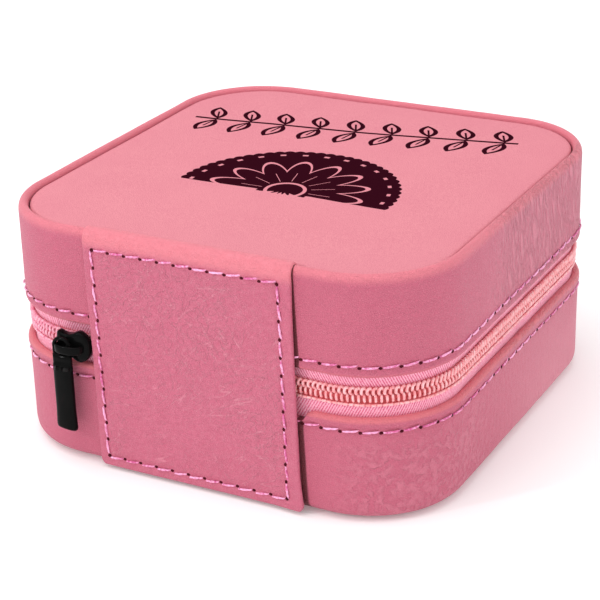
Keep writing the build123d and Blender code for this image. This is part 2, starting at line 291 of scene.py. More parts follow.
def printMask(shade, x, y):
    def inside(distance, soft=0.06):
        return distance.ramp(soft, -soft)

    u, v = x - fan["at"][0], y - fan["at"][1]
    radius = (u * u + v * v).maths("SQRT")
    angle = v.maths("ARCTAN2", u)
    edge = abs((angle * (fan["scallops"] / 2)).maths("SINE")) * fan["scallop"]
    waist = (angle * fan["rays"]).maths("COSINE") * 0.5
    disc = inside(radius - edge - fan["radius"]) * inside(v - waist - 2.0)
    # rays and arcs left in the colour of the leather
    wave = abs((angle * (fan["rays"] / 2)).maths("COSINE"))
    petals = inside(abs(radius - wave * 6.0 - 11.5) - 0.55)
    spokes = inside(abs((angle * (fan["rays"] / 2)).maths("SINE")) * radius - 0.55)
    spokes = spokes * radius.ramp(5.4, 5.6) * radius.ramp(10.6, 10.4)
    arc = inside(abs(radius - 4.2) - 0.4)
    seeds = (angle * fan["rays"] * 2).maths("SINE").ramp(0.6, 0.8)
    seeds = seeds * inside(abs(radius - (fan["radius"] - 2.0)) - 0.4)
    mask = disc * (1 - petals) * (1 - spokes) * (1 - arc) * (1 - seeds)

    # a stem and paired leaves drawn in outline along a shallow bow
    turned = shade.node("ShaderNodeVectorRotate", {"rotation_type": "Z_AXIS"}, {
        "Vector": shade.node("ShaderNodeCombineXYZ", None, {
            0: x - garland["at"][0], 1: y - garland["at"][1]}),
        "Angle": garland["turn"]})
    p, q, _ = shade.split(turned)
    q = q + p * p * garland["bow"]
    run = abs(p).ramp(garland["half"] + 0.1, garland["half"] - 0.1)
    stem = inside(abs(q) - garland["stroke"])
    cell = p.maths("WRAP", garland["leaf"] / 2, -garland["leaf"] / 2)
    side = abs(q)
    lean = (cell - side * 0.3 + 1.3) / 2.1
    rise = (side - 4.4) / 3.9
    leaf = abs(abs(lean) + rise * rise - 0.8).ramp(0.3, 0.24)
    vein = inside(abs(cell - side * 0.3 + 1.3) - 0.25) * side.ramp(5.4, 5.2)
    return mask.maths("MAXIMUM", stem.maths("MAXIMUM", leaf).maths("MAXIMUM", vein) * run)


def threadShade():
    shade = Shade("polished_thread", Specular_IOR_Level=0.6, Sheen_Weight=0.3)
    strand = shade.noise(0.5, 1.0)
    long = shade.noise(9.0, 1.0)
    tone = strand * 0.5 + long * 0.5
    magenta, pale = colour(210, 72, 140), colour(255, 178, 220)
    shade.feed("Base Color", shade.mix(tone.ramp(0.35, 0.62), magenta, pale))
    shade.feed("Roughness", strand * 0.2 + 0.22)
    shade.bump(strand, 0.05, 0.5)
    return shade.material


def holeShade():
    # painted shade: the needle holes are dark plugs that stand for the shade inside each hole
    shade = Shade("needle_hole", Specular_IOR_Level=0.1)
    tone = shade.noise(0.4, 1.0)
    shade.feed("Base Color", shade.mix(tone, colour(44, 8, 16), colour(96, 22, 36)))
    shade.feed("Roughness", tone * 0.1 + 0.85)
    return shade.material


def tapeShade():
    # ribbed woven tape, with painted shade, darker and redder, in the band where the coil is sewn on: the ribs
    # follow the UV map that roundTheCase writes
    shade = Shade("zip_tape", Specular_IOR_Level=0.35, Sheen_Weight=0.35)
    along = shade.split(shade.node("ShaderNodeTexCoord", outlet=2))
    z = shade.split(shade.place())[2]
    rib = (along[0] * 10.5 + abs(along[1] - gapMiddle) * 6.0).maths("SINE") * shade.noise(0.8, 2.0)
    yarn = shade.noise(0.32, 2.0)
    # painted shade in the band behind the coil
    shadeUnderCoil = abs(z - gapMiddle).ramp(2.1, 1.7)
    weave = (rib * 0.5 + yarn).ramp(0.22, 0.66)
    cloth = shade.mix(weave, colour(222, 92, 132), colour(252, 180, 202))
    shade.feed("Base Color", shade.mix(shadeUnderCoil, cloth, colour(232, 106, 112)))
    shade.feed("Roughness", yarn * 0.2 + 0.55)
    shade.bump(rib * 0.4 + yarn * 0.7, 0.09, 0.9)
    return shade.material


def coilShade():
    shade = Shade("nylon_coil", Specular_IOR_Level=0.55, Coat_Weight=0.15)
    tone = shade.noise(0.9, 2.0)
    # peach beside the hinge panel, and pinker on the slider's side
    far = shade.split(shade.place())[0].ramp(14.0, 40.0)
    deep = shade.mix(far, colour(246, 148, 154), colour(236, 132, 162))
    light = shade.mix(far, colour(255, 198, 202), colour(255, 186, 206))
    shade.feed("Base Color", shade.mix(tone.ramp(0.3, 0.7), deep, light))
    shade.feed("Roughness", tone * 0.15 + 0.26)
    shade.bump(tone, 0.03, 0.5)
    return shade.material


def blackShade():
    shade = Shade("black_enamel", Specular_IOR_Level=0.05)
    cloud = shade.noise(3.0, 3.0)
    fleck = shade.noise(0.35, 2.0)
    shade.feed("Base Color", shade.mix(cloud, (0.002, 0.002, 0.002, 1), (0.005, 0.005, 0.005, 1)))
    shade.feed("Roughness", cloud * 0.08 + fleck * 0.03 + 0.07)
    shade.bump(fleck + cloud, 0.015, 0.2)
    return shade.material


def velvetShade(name, dark, light, size=0.5):
    shade = Shade(name, Specular_IOR_Level=0.15, Sheen_Weight=0.8, Sheen_Roughness=0.35)
    pile = shade.noise(size, 4.0, 0.7)
    brushed = shade.noise(9.0, 3.0, 0.6)
    tone = pile * 0.55 + brushed * 0.45
    shade.feed("Base Color", shade.mix(tone.ramp(0.32, 0.66), dark, light))
    shade.feed("Roughness", pile * 0.1 + 0.82)
    shade.bump(pile + brushed * 0.3, 0.16, 0.7)
    return shade.material


def snapShade():
    shade = Shade("snap_metal", Metallic=1.0)
    cloud = shade.noise(1.6, 3.0)
    shade.feed("Base Color", shade.mix(cloud, colour(196, 184, 168), colour(228, 220, 208)))
    shade.feed("Roughness", cloud * 0.2 + 0.14)
    return shade.material


def boardShade():
    shade = Shade("greyboard", Specular_IOR_Level=0.2)
    fibre = shade.noise(0.9, 4.0, 0.6, shade.place((1, 0.3, 1)))
    speck = shade.noise(0.3, 2.0).ramp(0.66, 0.74)
    base = shade.mix(fibre.ramp(0.3, 0.7), colour(150, 142, 130), colour(184, 176, 164))
    shade.feed("Base Color", shade.mix(speck * 0.5, base, colour(96, 90, 84)))
    shade.feed("Roughness", fibre * 0.1 + 0.8)
    shade.bump(fibre, 0.08, 0.6)
    return shade.material


def foamShade():
    shade = Shade("soft_foam", Specular_IOR_Level=0.1)
    cell = shade.cells(0.6)
    shade.feed("Base Color", shade.mix(cell, colour(222, 216, 200), colour(246, 242, 232)))
    shade.feed("Roughness", cell * 0.1 + 0.85)
    shade.bump(cell, 0.2, 0.6)
    return shade.material


finish = {
    "side": leatherShade("side_leatherette", leather["side"], leather["sideDeep"], 0.40,
                         wrinkles=2.4, spread=0.18, depth=0.2),
    "top": leatherShade("top_leatherette", leather["top"], leather["topDeep"], 0.46,
                        pebbles=0.35, depth=0.1, printed=True),
    "panel": leatherShade("panel_leatherette", leather["panel"], leather["sideDeep"], 0.38,
                          scratches=0.9, pebbles=0.25, spread=0.22, depth=0.18),
    "thread": threadShade(),
    "hole": holeShade(),
    "tape": tapeShade(),
    "coil": coilShade(),
    "black": blackShade(),
    "velvet": velvetShade("velvet", colour(206, 116, 134), colour(240, 168, 180)),
    "pocket": velvetShade("pocket_velvet", colour(200, 108, 128), colour(236, 160, 174), 0.6),
    "snap": snapShade(),
    "board": boardShade(),
    "foam": foamShade(),
}
print("materials made:", len(finish))


def piece(name, points, faces, material, smooth=True):
    # points in millimetres; the object stays at the origin
    mesh = bpy.data.meshes.new(name)
    mesh.from_pydata([tuple(p) for p in np.asarray(points, float) * mm], [], faces)
    work = bmesh.new()
    work.from_mesh(mesh)
    bmesh.ops.recalc_face_normals(work, faces=work.faces)
    work.to_mesh(mesh)
    work.free()
    for face in mesh.polygons:
        face.use_smooth = smooth
    mesh.materials.append(material)
    made = bpy.data.objects.new(name, mesh)
    bpy.context.scene.collection.objects.link(made)
    return made


def settle(made, body, slot, *nodes):
    # what every finished piece is told: its body, unless it spans two bodies, and what it stands for
    if isinstance(body, tuple):
        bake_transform(made)
    else:
        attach(made, body)
    if nodes:
        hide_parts(*nodes)
    return made


def gridFaces(rows, columns, roundRows, roundColumns):
    # quads over a grid of points, joined end to end where asked
    faces = []
    for r in range(rows if roundRows else rows - 1):
        for c in range(columns if roundColumns else columns - 1):
            r2, c2 = (r + 1) % rows, (c + 1) % columns
            faces.append((r * columns + c, r * columns + c2, r2 * columns + c2, r2 * columns + c))
    return faces


def curveThrough(points, step, closed=False):
    # an even, rounded line through a few points
    points = np.asarray(points, float)
    if closed:
        ring = np.vstack([points[-1], points, points[0], points[1]])
    else:
        ring = np.vstack([2 * points[0] - points[1], points, 2 * points[-1] - points[-2]])
    line = []
    for a, b, c, d in zip(ring, ring[1:], ring[2:], ring[3:]):
        t = np.linspace(0, 1, 24, endpoint=False)[:, None]
        line.append(0.5 * (2 * b + (c - a) * t + (2 * a - 5 * b + 4 * c - d) * t * t
                           + (3 * b - a - 3 * c + d) * t ** 3))
    line = np.vstack(line + [ring[-2][None]])
    return evenly(line, step, closed)


def evenly(line, step, closed=False):
    # the same line with its points evenly spaced
    line = np.asarray(line, float)
    run = np.r_[0, np.cumsum(np.linalg.norm(np.diff(line, axis=0), axis=1))]
    count = max(3, int(round(run[-1] / step)) + 1)
    at = np.linspace(0, run[-1], count)
    if closed:
        at = at[:-1]
    return np.column_stack([np.interp(at, run, line[:, k]) for k in range(line.shape[1])])


def ripple(points, size, seed=0):
    # smooth unevenness at each point, between -1 and 1
    shift = Vector((seed * 7.3, seed * 3.1, seed * 5.7))
    return np.array([noise.noise(Vector(p) / size + shift) for p in points])


# The outline of the case: half a back, then a corner and a side in turn
flatX, flatY = halfWidth - cornerRadius, halfDepth - cornerRadius
bend = cornerRadius * math.pi / 2
legs = [flatX, bend, 2 * flatY, bend, 2 * flatX, bend, 2 * flatY, bend, flatX]
girth = sum(legs)


def outline(s):
    # places on the case's outer face and the directions they face, from the middle
    # of the back towards -X and all the way round
    s = np.asarray(s, float) % girth
    place, facing = np.zeros((len(s), 2)), np.zeros((len(s), 2))
    start = 0.0
    corners = [(-flatX, flatY), (-flatX, -flatY), (flatX, -flatY), (flatX, flatY)]
    for index, leg in enumerate(legs):
        on = (s >= start - 1e-9) & (s <= start + leg + 1e-9)
        t = s[on] - start
        turn = math.pi / 2 * (1 + (index + 1) // 2)
        if index % 2:
            angle = turn - math.pi / 2 + t / cornerRadius
            normal = np.column_stack([np.cos(angle), np.sin(angle)])
            centre = np.array(corners[index // 2])
            place[on] = centre + normal * cornerRadius
        else:
            normal = np.tile([math.cos(turn), math.sin(turn)], (len(t), 1))
            along = np.array([-math.sin(turn), math.cos(turn)])
            if index == 0:
                first = np.array([0.0, halfDepth])
            else:
                first = np.array(corners[index // 2 - 1]) + normal[:1] * cornerRadius
            place[on] = first + t[:, None] * along
        facing[on] = normal
        start += leg
    return place, facing


def loopNormals(loop):
    # directions that point out of a closed outline drawn in two dimensions
    along = np.roll(loop, -1, 0) - np.roll(loop, 1, 0)
    along /= np.linalg.norm(along, axis=1)[:, None] + 1e-12
    area = np.sum(loop[:, 0] * np.roll(loop[:, 1], -1) - loop[:, 1] * np.roll(loop[:, 0], -1))
    side = 1 if area > 0 else -1
    return np.column_stack([along[:, 1], -along[:, 0]]) * side


def roundTheCase(name, profile, material, start=0.0, end=None, step=0.8, relief=None):
    # a closed profile of (inset, height) points carried along the outline, with a UV
    # map that holds the distance from the middle of the back and the height
    closed = end is None
    end = girth if closed else end
    count = int(round((end - start) / step)) + 1
    s = np.linspace(start, end, count)[:-1] if closed else np.linspace(start, end, count)
    place, facing = outline(s)
    section = np.column_stack([-profile[:, 0], profile[:, 1]])
    normal = loopNormals(section)
    grid = np.zeros((len(s), len(section), 3))

    def lay(rise):
        out = section[None, :, 0] + rise * normal[None, :, 0]
        grid[:, :, 0] = place[:, :1] + facing[:, :1] * out
        grid[:, :, 1] = place[:, 1:] + facing[:, 1:] * out
        grid[:, :, 2] = section[None, :, 1] + rise * normal[None, :, 1]

    lay(np.zeros((len(s), len(section))))
    if relief is not None:
        lay(relief(s[:, None], -section[None, :, 0], section[None, :, 1], grid))
    faces = gridFaces(len(s), len(section), closed, True)
    if not closed:
        faces.append(tuple(range(len(section))))
        faces.append(tuple((len(s) - 1) * len(section) + i for i in range(len(section))))
    made = piece(name, grid.reshape(-1, 3), faces, material)
    along = np.repeat(np.minimum(s, girth - s), len(section))
    layer = made.data.uv_layers.new(name="along")
    corners = np.array([loop.vertex_index for loop in made.data.loops])
    flat = np.column_stack([along[corners], np.tile(section[:, 1], len(s))[corners]])
    layer.data.foreach_set("uv", flat.ravel())
    return made


def waves(grid, *layers):
    # soft unevenness of a grid of points: each layer is (height, size, seed)
    points = grid.reshape(-1, 3)
    total = sum(height * ripple(points, size, seed) for height, size, seed in layers)
    return total.reshape(grid.shape[:-1])


def loft(name, loops, material, capFirst=True, capLast=True):
    # equal loops of points joined in order, with their ends closed
    loops = [np.asarray(loop, float) for loop in loops]
    count = len(loops[0])
    faces = gridFaces(len(loops), count, False, True)
    if capFirst:
        faces.append(tuple(range(count)))
    if capLast:
        faces.append(tuple((len(loops) - 1) * count + i for i in range(count)))
    return piece(name, np.vstack(loops), faces, material)


def tubeLoops(line, radii, sides=6, up=(0, 0, 1)):
    # loops round a line, with one radius for all of it or one for each point
    line = np.asarray(line, float)
    along = np.gradient(line, axis=0)
    along /= np.linalg.norm(along, axis=1)[:, None]
    up = np.asarray(up, float)
    loops = []
    for point, ahead, radius in zip(line, along, np.broadcast_to(radii, len(line))):
        across = np.cross(up, ahead)
        across /= np.linalg.norm(across) + 1e-12
        over = np.cross(ahead, across)
        loops.append([point + radius * (math.cos(a) * across + math.sin(a) * over)
                      for a in np.arange(sides) * 2 * math.pi / sides])
    return loops


def joinMeshes(name, parts):
    # several meshes of one material as one piece
    work = bmesh.new()
    for part in parts:
        work.from_mesh(part.data)
    mesh = bpy.data.meshes.new(name)
    work.to_mesh(mesh)
    work.free()
    mesh.materials.append(parts[0].data.materials[0])
    for face in mesh.polygons:
        face.use_smooth = True
    for part in parts:
        bpy.data.objects.remove(part)
    made = bpy.data.objects.new(name, mesh)
    bpy.context.scene.collection.objects.link(made)
    return made


def repeatTree():
    # puts one small shape at every step along a path, turned to face outwards
    tree = bpy.data.node_groups.new("repeat_along", "GeometryNodeTree")
    face = tree.interface
    for name, kind in (("Geometry", "Geometry"), ("Shape", "Object"), ("Spacing", "Float"),
                       ("Slant", "Float"), ("Wobble", "Float"), ("Seed", "Int"),
                       ("Material", "Material")):
        face.new_socket(name, in_out="INPUT", socket_type="NodeSocket" + kind)
    face.new_socket("Geometry", in_out="OUTPUT", socket_type="NodeSocketGeometry")

    def add(kind, links=None, **settings):
        made = tree.nodes.new(kind)
        for key, value in settings.items():
            setattr(made, key, value)
        for socket, source in (links or {}).items():
            if hasattr(source, "is_output"):
                tree.links.new(source, made.inputs[socket])
            else:
                made.inputs[socket].default_value = source
        return made

    given = add("NodeGroupInput").outputs
    path = add("GeometryNodeMeshToCurve", {0: given["Geometry"]})
    steps = add("GeometryNodeResampleCurve", {"Curve": path.outputs[0], "Length": given["Spacing"]},
                mode="LENGTH")
    outward = add("GeometryNodeInputNamedAttribute", {"Name": "outward"}, data_type="FLOAT_VECTOR")
    tangent = add("GeometryNodeInputTangent")
    along = add("FunctionNodeAlignRotationToVector", {"Vector": tangent.outputs[0]}, axis="X")
    facing = add("FunctionNodeAlignRotationToVector",
                 {"Rotation": along.outputs[0], "Vector": outward.outputs[0]},
                 axis="Z", pivot_axis="X")
    chance = add("FunctionNodeRandomValue", {0: (-1, -1, -1), 1: (1, 1, 1), "Seed": given["Seed"]},
                 data_type="FLOAT_VECTOR")
    wobble = add("ShaderNodeVectorMath", {0: chance.outputs[0], "Scale": given["Wobble"]},
                 operation="SCALE")
    slant = add("ShaderNodeCombineXYZ", {2: given["Slant"]})
    total = add("ShaderNodeVectorMath", {0: wobble.outputs[0], 1: slant.outputs[0]}, operation="ADD")
    turn = add("FunctionNodeEulerToRotation", {0: total.outputs[0]})
    turned = add("FunctionNodeRotateRotation", {0: facing.outputs[0], 1: turn.outputs[0]},
                 rotation_space="LOCAL")
    shape = add("GeometryNodeObjectInfo", {"Object": given["Shape"]})
    placed = add("GeometryNodeInstanceOnPoints", {
        "Points": steps.outputs[0], "Instance": shape.outputs["Geometry"],
        "Rotation": turned.outputs[0]})
    real = add("GeometryNodeRealizeInstances", {0: placed.outputs[0]})
    painted = add("GeometryNodeSetMaterial", {0: real.outputs[0], "Material": given["Material"]})
    add("NodeGroupOutput", {0: painted.outputs[0]})
    return tree


repeatAlong = repeatTree()


def repeat(name, line, facing, shape, spacing, material, slant=0.0, wobble=0.0, seed=1, trim=True):
    # line and facing are in millimetres; with trim, the last shape ends where the line does
    line, facing = np.asarray(line, float), np.asarray(facing, float)
    run = np.r_[0, np.cumsum(np.linalg.norm(np.diff(line, axis=0), axis=1))]
    count = max(2, int(round(run[-1] / spacing)))
    pitch = run[-1] / count
    if trim:
        keep = run <= run[-1] - pitch
        last = [np.interp(run[-1] - pitch, run, line[:, k]) for k in range(3)]
        line = np.vstack([line[keep], last])
        facing = np.vstack([facing[keep], facing[keep][-1:]])
    mesh = bpy.data.meshes.new(name + "_path")
    edges = [(i, i + 1) for i in range(len(line) - 1)]
    mesh.from_pydata([tuple(p) for p in line * mm], edges, [])
    stored = mesh.attributes.new("outward", "FLOAT_VECTOR", "POINT")
    stored.data.foreach_set("vector", facing.ravel())
    path = bpy.data.objects.new(name + "_path", mesh)
    bpy.context.scene.collection.objects.link(path)
    modifier = path.modifiers.new("repeat", "NODES")
    modifier.node_group = repeatAlong
    values = {"Shape": shape, "Spacing": pitch * mm * 0.9999, "Slant": slant, "Wobble": wobble,
              "Seed": seed, "Material": material}
    for item in repeatAlong.interface.items_tree:
        if item.in_out == "INPUT" and item.name in values:
            modifier[item.identifier] = values[item.name]
    path.update_tag()
    bpy.context.view_layer.update()
    ready = path.evaluated_get(bpy.context.evaluated_depsgraph_get())
    result = bpy.data.meshes.new_from_object(ready)
    result.name = name
    path.modifiers.remove(modifier)
    made = bpy.data.objects.new(name, result)
    bpy.context.scene.collection.objects.link(made)
    bpy.data.objects.remove(path)
    for face in result.polygons:
        face.use_smooth = True
    if "outward" in result.attributes:
        result.attributes.remove(result.attributes["outward"])
    return made


def onWall(start, end, height, inset, step=0.5):
    # a level line on the wall, with the directions it faces
    s = np.linspace(start, end, int((end - start) / step) + 2)
    place, facing = outline(s)
    line = np.column_stack([place - facing * inset, np.full(len(s), height)])
    return line, np.column_stack([facing, np.zeros(len(s))])


templates = []


def template(name, points, faces, material):
    # a small shape that is repeated, kept out of sight until it is removed at the end
    shape = piece(name, points, faces, material)
    shape.hide_render = True
    shape.hide_viewport = True
    templates.append(shape)
    return shape


stitch = {
    "pitch": 4.05,
    "long": 3.4,
    "thick": 0.24,      # half the width of the thread
    "slant": math.radians(7),
    "hole": 0.38,
    "groove": 0.13,
    "lidAt": 33.89,
    "baseAt": 20.03,
}


def stitchShape():
    # a plump thread that dives into the leather at both ends, with a twist along it
    t = np.linspace(0, 1, 13)
    line = np.column_stack([stitch["long"] * t + 0.35, 0 * t, 0.3 * np.sin(math.pi * t) ** 0.5 - 0.12])
    line[[0, -1], 2] = -0.3
    thick = stitch["thick"] * (0.62 + 0.38 * np.sin(math.pi * t) ** 0.6)
    loops = []
    for index, (point, radius) in enumerate(zip(line, thick)):
        angle = np.arange(8) * math.pi / 4
        lobes = 1 + 0.16 * np.cos(2 * (angle - index * 0.62))
        loops.append(np.column_stack([np.full(8, point[0]) + 0.1 * np.cos(angle),
                                      radius * lobes * np.cos(angle),
                                      point[2] + radius * 0.85 * lobes * np.sin(angle)]))
    faces = gridFaces(13, 8, False, True) + [tuple(range(8)), tuple(range(96, 104))]
    return template("stitch_shape", np.vstack(loops), faces, finish["thread"])


def holeShape():
    # a dark plug set in the leather, painted shade for a needle hole
    angle = np.arange(10) * math.pi / 5
    ring = np.column_stack([stitch["hole"] * np.cos(angle), stitch["hole"] * 0.8 * np.sin(angle),
                            np.full(10, 0.025)])
    under = ring * (0.9, 0.9, 1) - (0, 0, 0.3)
    faces = gridFaces(2, 10, False, True) + [tuple(range(10)), tuple(range(10, 20))]
    return template("hole_shape", np.vstack([ring, under]), faces, finish["hole"])


threadPiece, holePiece = stitchShape(), holeShape()


def stitchLine(name, line, facing, body, slot, seed, sink=0.1, pitch=None):
    # a row of stitches and its needle holes, sunk a little into the groove
    at = np.asarray(line) - np.asarray(facing) * sink
    pitch = pitch or stitch["pitch"]
    thread = repeat(name, at, facing, threadPiece, pitch, finish["thread"],
                    slant=stitch["slant"], wobble=0.045, seed=seed)
    holes = repeat(name + "_holes", at, facing, holePiece, pitch, finish["hole"], seed=seed,
                   trim=False)
    return thread, holes


def pucker(s, z, at, depth, sections):
    # the groove that a tight row of stitches pulls, deeper at each needle hole
    beat = girth / round(girth / stitch["pitch"])
    pull = 0.5 + 0.5 * np.cos(2 * math.pi * s / beat)
    groove = np.exp(-((z - at) / 0.55) ** 2)
    wide = np.exp(-((z - at) / 1.3) ** 2)
    return -depth * groove * (0.7 + 0.5 * pull ** 3) - 0.05 * wide * pull + sections


# The covers' outlines are (inset from the outer face, height)
lidCover = {
    "hem": [(1.45, 32.4), (1.3, 31.98), (0.8, 31.78), (0.3, 31.86), (-0.05, 32.2), (-0.14, 32.8)],
    "rim": [(0.0, 51.1), (0.1, 51.85), (0.36, 52.45), (0.75, 52.86), (1.15, 52.98), (1.58, 52.86),
            (1.92, 52.45), (2.08, 51.85), (2.14, 51.1), (2.1, 50.6), (1.9, 50.35), (1.5, 50.2)],
}


def makeLidCover():
    levels = np.r_[np.arange(33.3, 36.6, 0.22), np.arange(37, 51, 0.9)]
    wall = [(0.0, z) for z in levels]
    profile = np.vstack([curveThrough(lidCover["hem"], 0.16), wall,
                         curveThrough(lidCover["rim"], 0.24), [(1.5, z) for z in (46, 40, 35)]])

    def relief(s, inset, z, grid):
        outer = (inset < 1.0) * 1.0
        swell = waves(grid, (0.07, 11.0, 1), (0.03, 4.0, 2), (0.012, 1.6, 3))
        return pucker(s, z, stitch["lidAt"], stitch["groove"], swell) * np.maximum(outer, 0.35)

    made = roundTheCase("lid_cover", profile, finish["side"], relief=relief)
    return settle(made, "lid", "side_leather", "lid_wall_cover", "lid_rim_bead")


baseCover = {
    "hem": [(1.45, 22.3), (1.38, 22.72), (1.0, 23.02), (0.5, 23.05), (0.02, 22.8), (-0.25, 22.3),
            (-0.28, 21.7), (-0.18, 21.1)],
    "foot": [(0.0, 4.2), (0.03, 3.4), (0.24, 2.35), (0.88, 1.38), (1.85, 0.74), (3.0, 0.5),
             (4.2, 0.48)],
    "turnDown": {"from": 24.6, "long": 2.9, "foot": 20.7, "least": 0.14},
}


def turnDownHem(made):
    # beside the hinge panel the hem curves down and lets the tape show
    turn = baseCover["turnDown"]
    for vertex in made.data.vertices:
        x, y, z = vertex.co / mm
        away = min(max((-x - turn["from"]) / turn["long"], 0.0), 1.0)
        if y > 46 and -30 < x < -18 and z > turn["foot"]:
            keep = turn["least"] + (1 - turn["least"]) * math.sqrt(1 - (1 - away) ** 2)
            vertex.co.z = (turn["foot"] + (z - turn["foot"]) * keep) * mm
    made.data.update()


def makeBaseCover():
    levels = np.r_[np.arange(20.9, 18.4, -0.22), np.arange(18, 4.6, -0.9)]
    wall = [(0.0, z) for z in levels]
    under = [(x, 0.48) for x in (5.5, 7.5, 9.3)] + [(9.8, 0.8), (9.3, 1.35), (6, 1.4), (3.2, 1.5)]
    inner = [(1.9, 2.2), (1.5, 3.4), (1.5, 9), (1.5, 16)]
    profile = np.vstack([curveThrough(baseCover["hem"], 0.16), wall,
                         curveThrough(baseCover["foot"], 0.3), under, inner])

    def relief(s, inset, z, grid):
        outer = (inset < 1.0) * 1.0
        swell = waves(grid, (0.08, 12.0, 5), (0.035, 4.0, 6), (0.015, 1.8, 7))
        pebbled = np.exp(-(((grid[:, :, 0] + 44) / 11) ** 2 + ((grid[:, :, 1] - 42) / 13) ** 2))
        swell = swell + pebbled * waves(grid, (0.09, 2.1, 8), (0.05, 1.1, 9))
        return pucker(s, z, stitch["baseAt"], stitch["groove"], swell) * np.maximum(outer, 0.3)

    made = roundTheCase("base_cover", profile, finish["side"], step=0.6, relief=relief)
    turnDownHem(made)
    return settle(made, "base", "side_leather", "base_wall_cover")


def planRings(name, profile, material, count=360, inner=14.0, rise=None, cut=None):
    # closed rings of the rounded plan, one for each (inset, height), ending in the middle:
    # rings further in than inner shrink evenly towards the middle
    s = np.linspace(0, girth, count, endpoint=False)
    place, facing = outline(s)
    core = place - facing * inner
    rings = []
    for inset, height in profile:
        if inset <= inner:
            ring = place - facing * inset
            if cut is not None:
                ring = ring - facing * cut(place, inset)[:, None]
        else:
            ring = core * max(0.0, (halfWidth - inset) / (halfWidth - inner))
        ring = np.column_stack([ring, np.full(count, float(height))])
        rings.append(ring)
    grid = np.array(rings)
    if rise is not None:
        grid[:, :, 2] += rise(grid)
    return loft(name, grid, material)


def smooth(t):
    t = np.clip(t, 0, 1)
    return t * t * (3 - 2 * t)


topPanel = {
    "edge": [(4.6, 50.95), (2.7, 50.98), (2.42, 51.25), (2.42, 51.65), (2.64, 52.02), (3.2, 52.2),
             (4.6, 52.26)],
    "top": 52.26,
    "crown": 0.26,
}


def makeTopPanel():
    edge = curveThrough(topPanel["edge"], 0.18)
    insets = np.r_[np.arange(5.4, 14, 1.0), np.arange(14.5, 49.6, 1.3), 49.9]
    across = [(inset, topPanel["top"] + topPanel["crown"] * smooth((inset - 4) / 26))
              for inset in insets]

    def cut(place, inset):
        # room for the hinge panel, which tucks in at the back
        near = smooth((24.9 - np.abs(place[:, 0])) / 0.9) * (place[:, 1] > 0)
        return near * 0.85 * max(0.0, 1 - max(0.0, inset - 5) / 4)

    def rise(grid):
        swell = waves(grid, (0.09, 17.0, 11), (0.035, 6.0, 12), (0.012, 2.2, 13))
        return swell * (grid[:, :, 2] > 51.2)

    made = planRings("top_panel", np.vstack([edge, across]), finish["top"], rise=rise, cut=cut)
    return settle(made, "lid", "top_leather", "lid_top_panel")


# The hinge panel: how it comes over the rim as (depth, height), then its two leaning
# edges as (height, left, right)
hinge = {
    "over": [(48.2, 50.9), (48.22, 51.5), (48.3, 52.3), (48.65, 53.0), (49.3, 53.42), (50.1, 53.5),
             (50.95, 53.2), (51.6, 52.5), (51.95, 51.6), (52.03, 50.8)],
    "edge": ((0.8, -24.9, 23.3), (8.0, -24.1, 23.4), (26.0, -23.45, 23.6), (38.0, -23.2, 23.9),
             (50.0, -23.1, 24.1), (54.0, -22.9, 24.15)),
    "face": 52.03,
    "foot": 0.8,
    "thick": 0.95,
    "round": 0.45,
    "groove": 0.16,
    "stitchTop": 49.29,
    "stitchFoot": 3.14,
    "pitch": 3.9,
    "rowTop": (-20.15, 21.85),      # the side rows lean a little
    "rowFoot": (-21.1, 21.1),
}


def hingeRows(z):
    # where the two leaning rows of stitches are, at each height
    share = np.clip((hinge["stitchTop"] - z) / (hinge["stitchTop"] - hinge["stitchFoot"]), 0, 1)
    return [top + (foot - top) * share for top, foot in zip(hinge["rowTop"], hinge["rowFoot"])]


def hingeRise(points):
    # how far the outer face stands off the flat: plump, uneven, and lifting at one edge
    x, z = points[:, 0], points[:, 2]
    pillow = 0.1 * smooth((panelHalf - np.abs(x)) / 7)
    swell = 0.08 * ripple(points, 13.0, 21) + 0.03 * ripple(points, 5.0, 22)
    lift = smooth((-x - 17) / 7) * (0.15 + 0.4 * smooth((30 - z) / 22)) * smooth((50 - z) / 6)
    return pillow + swell + lift


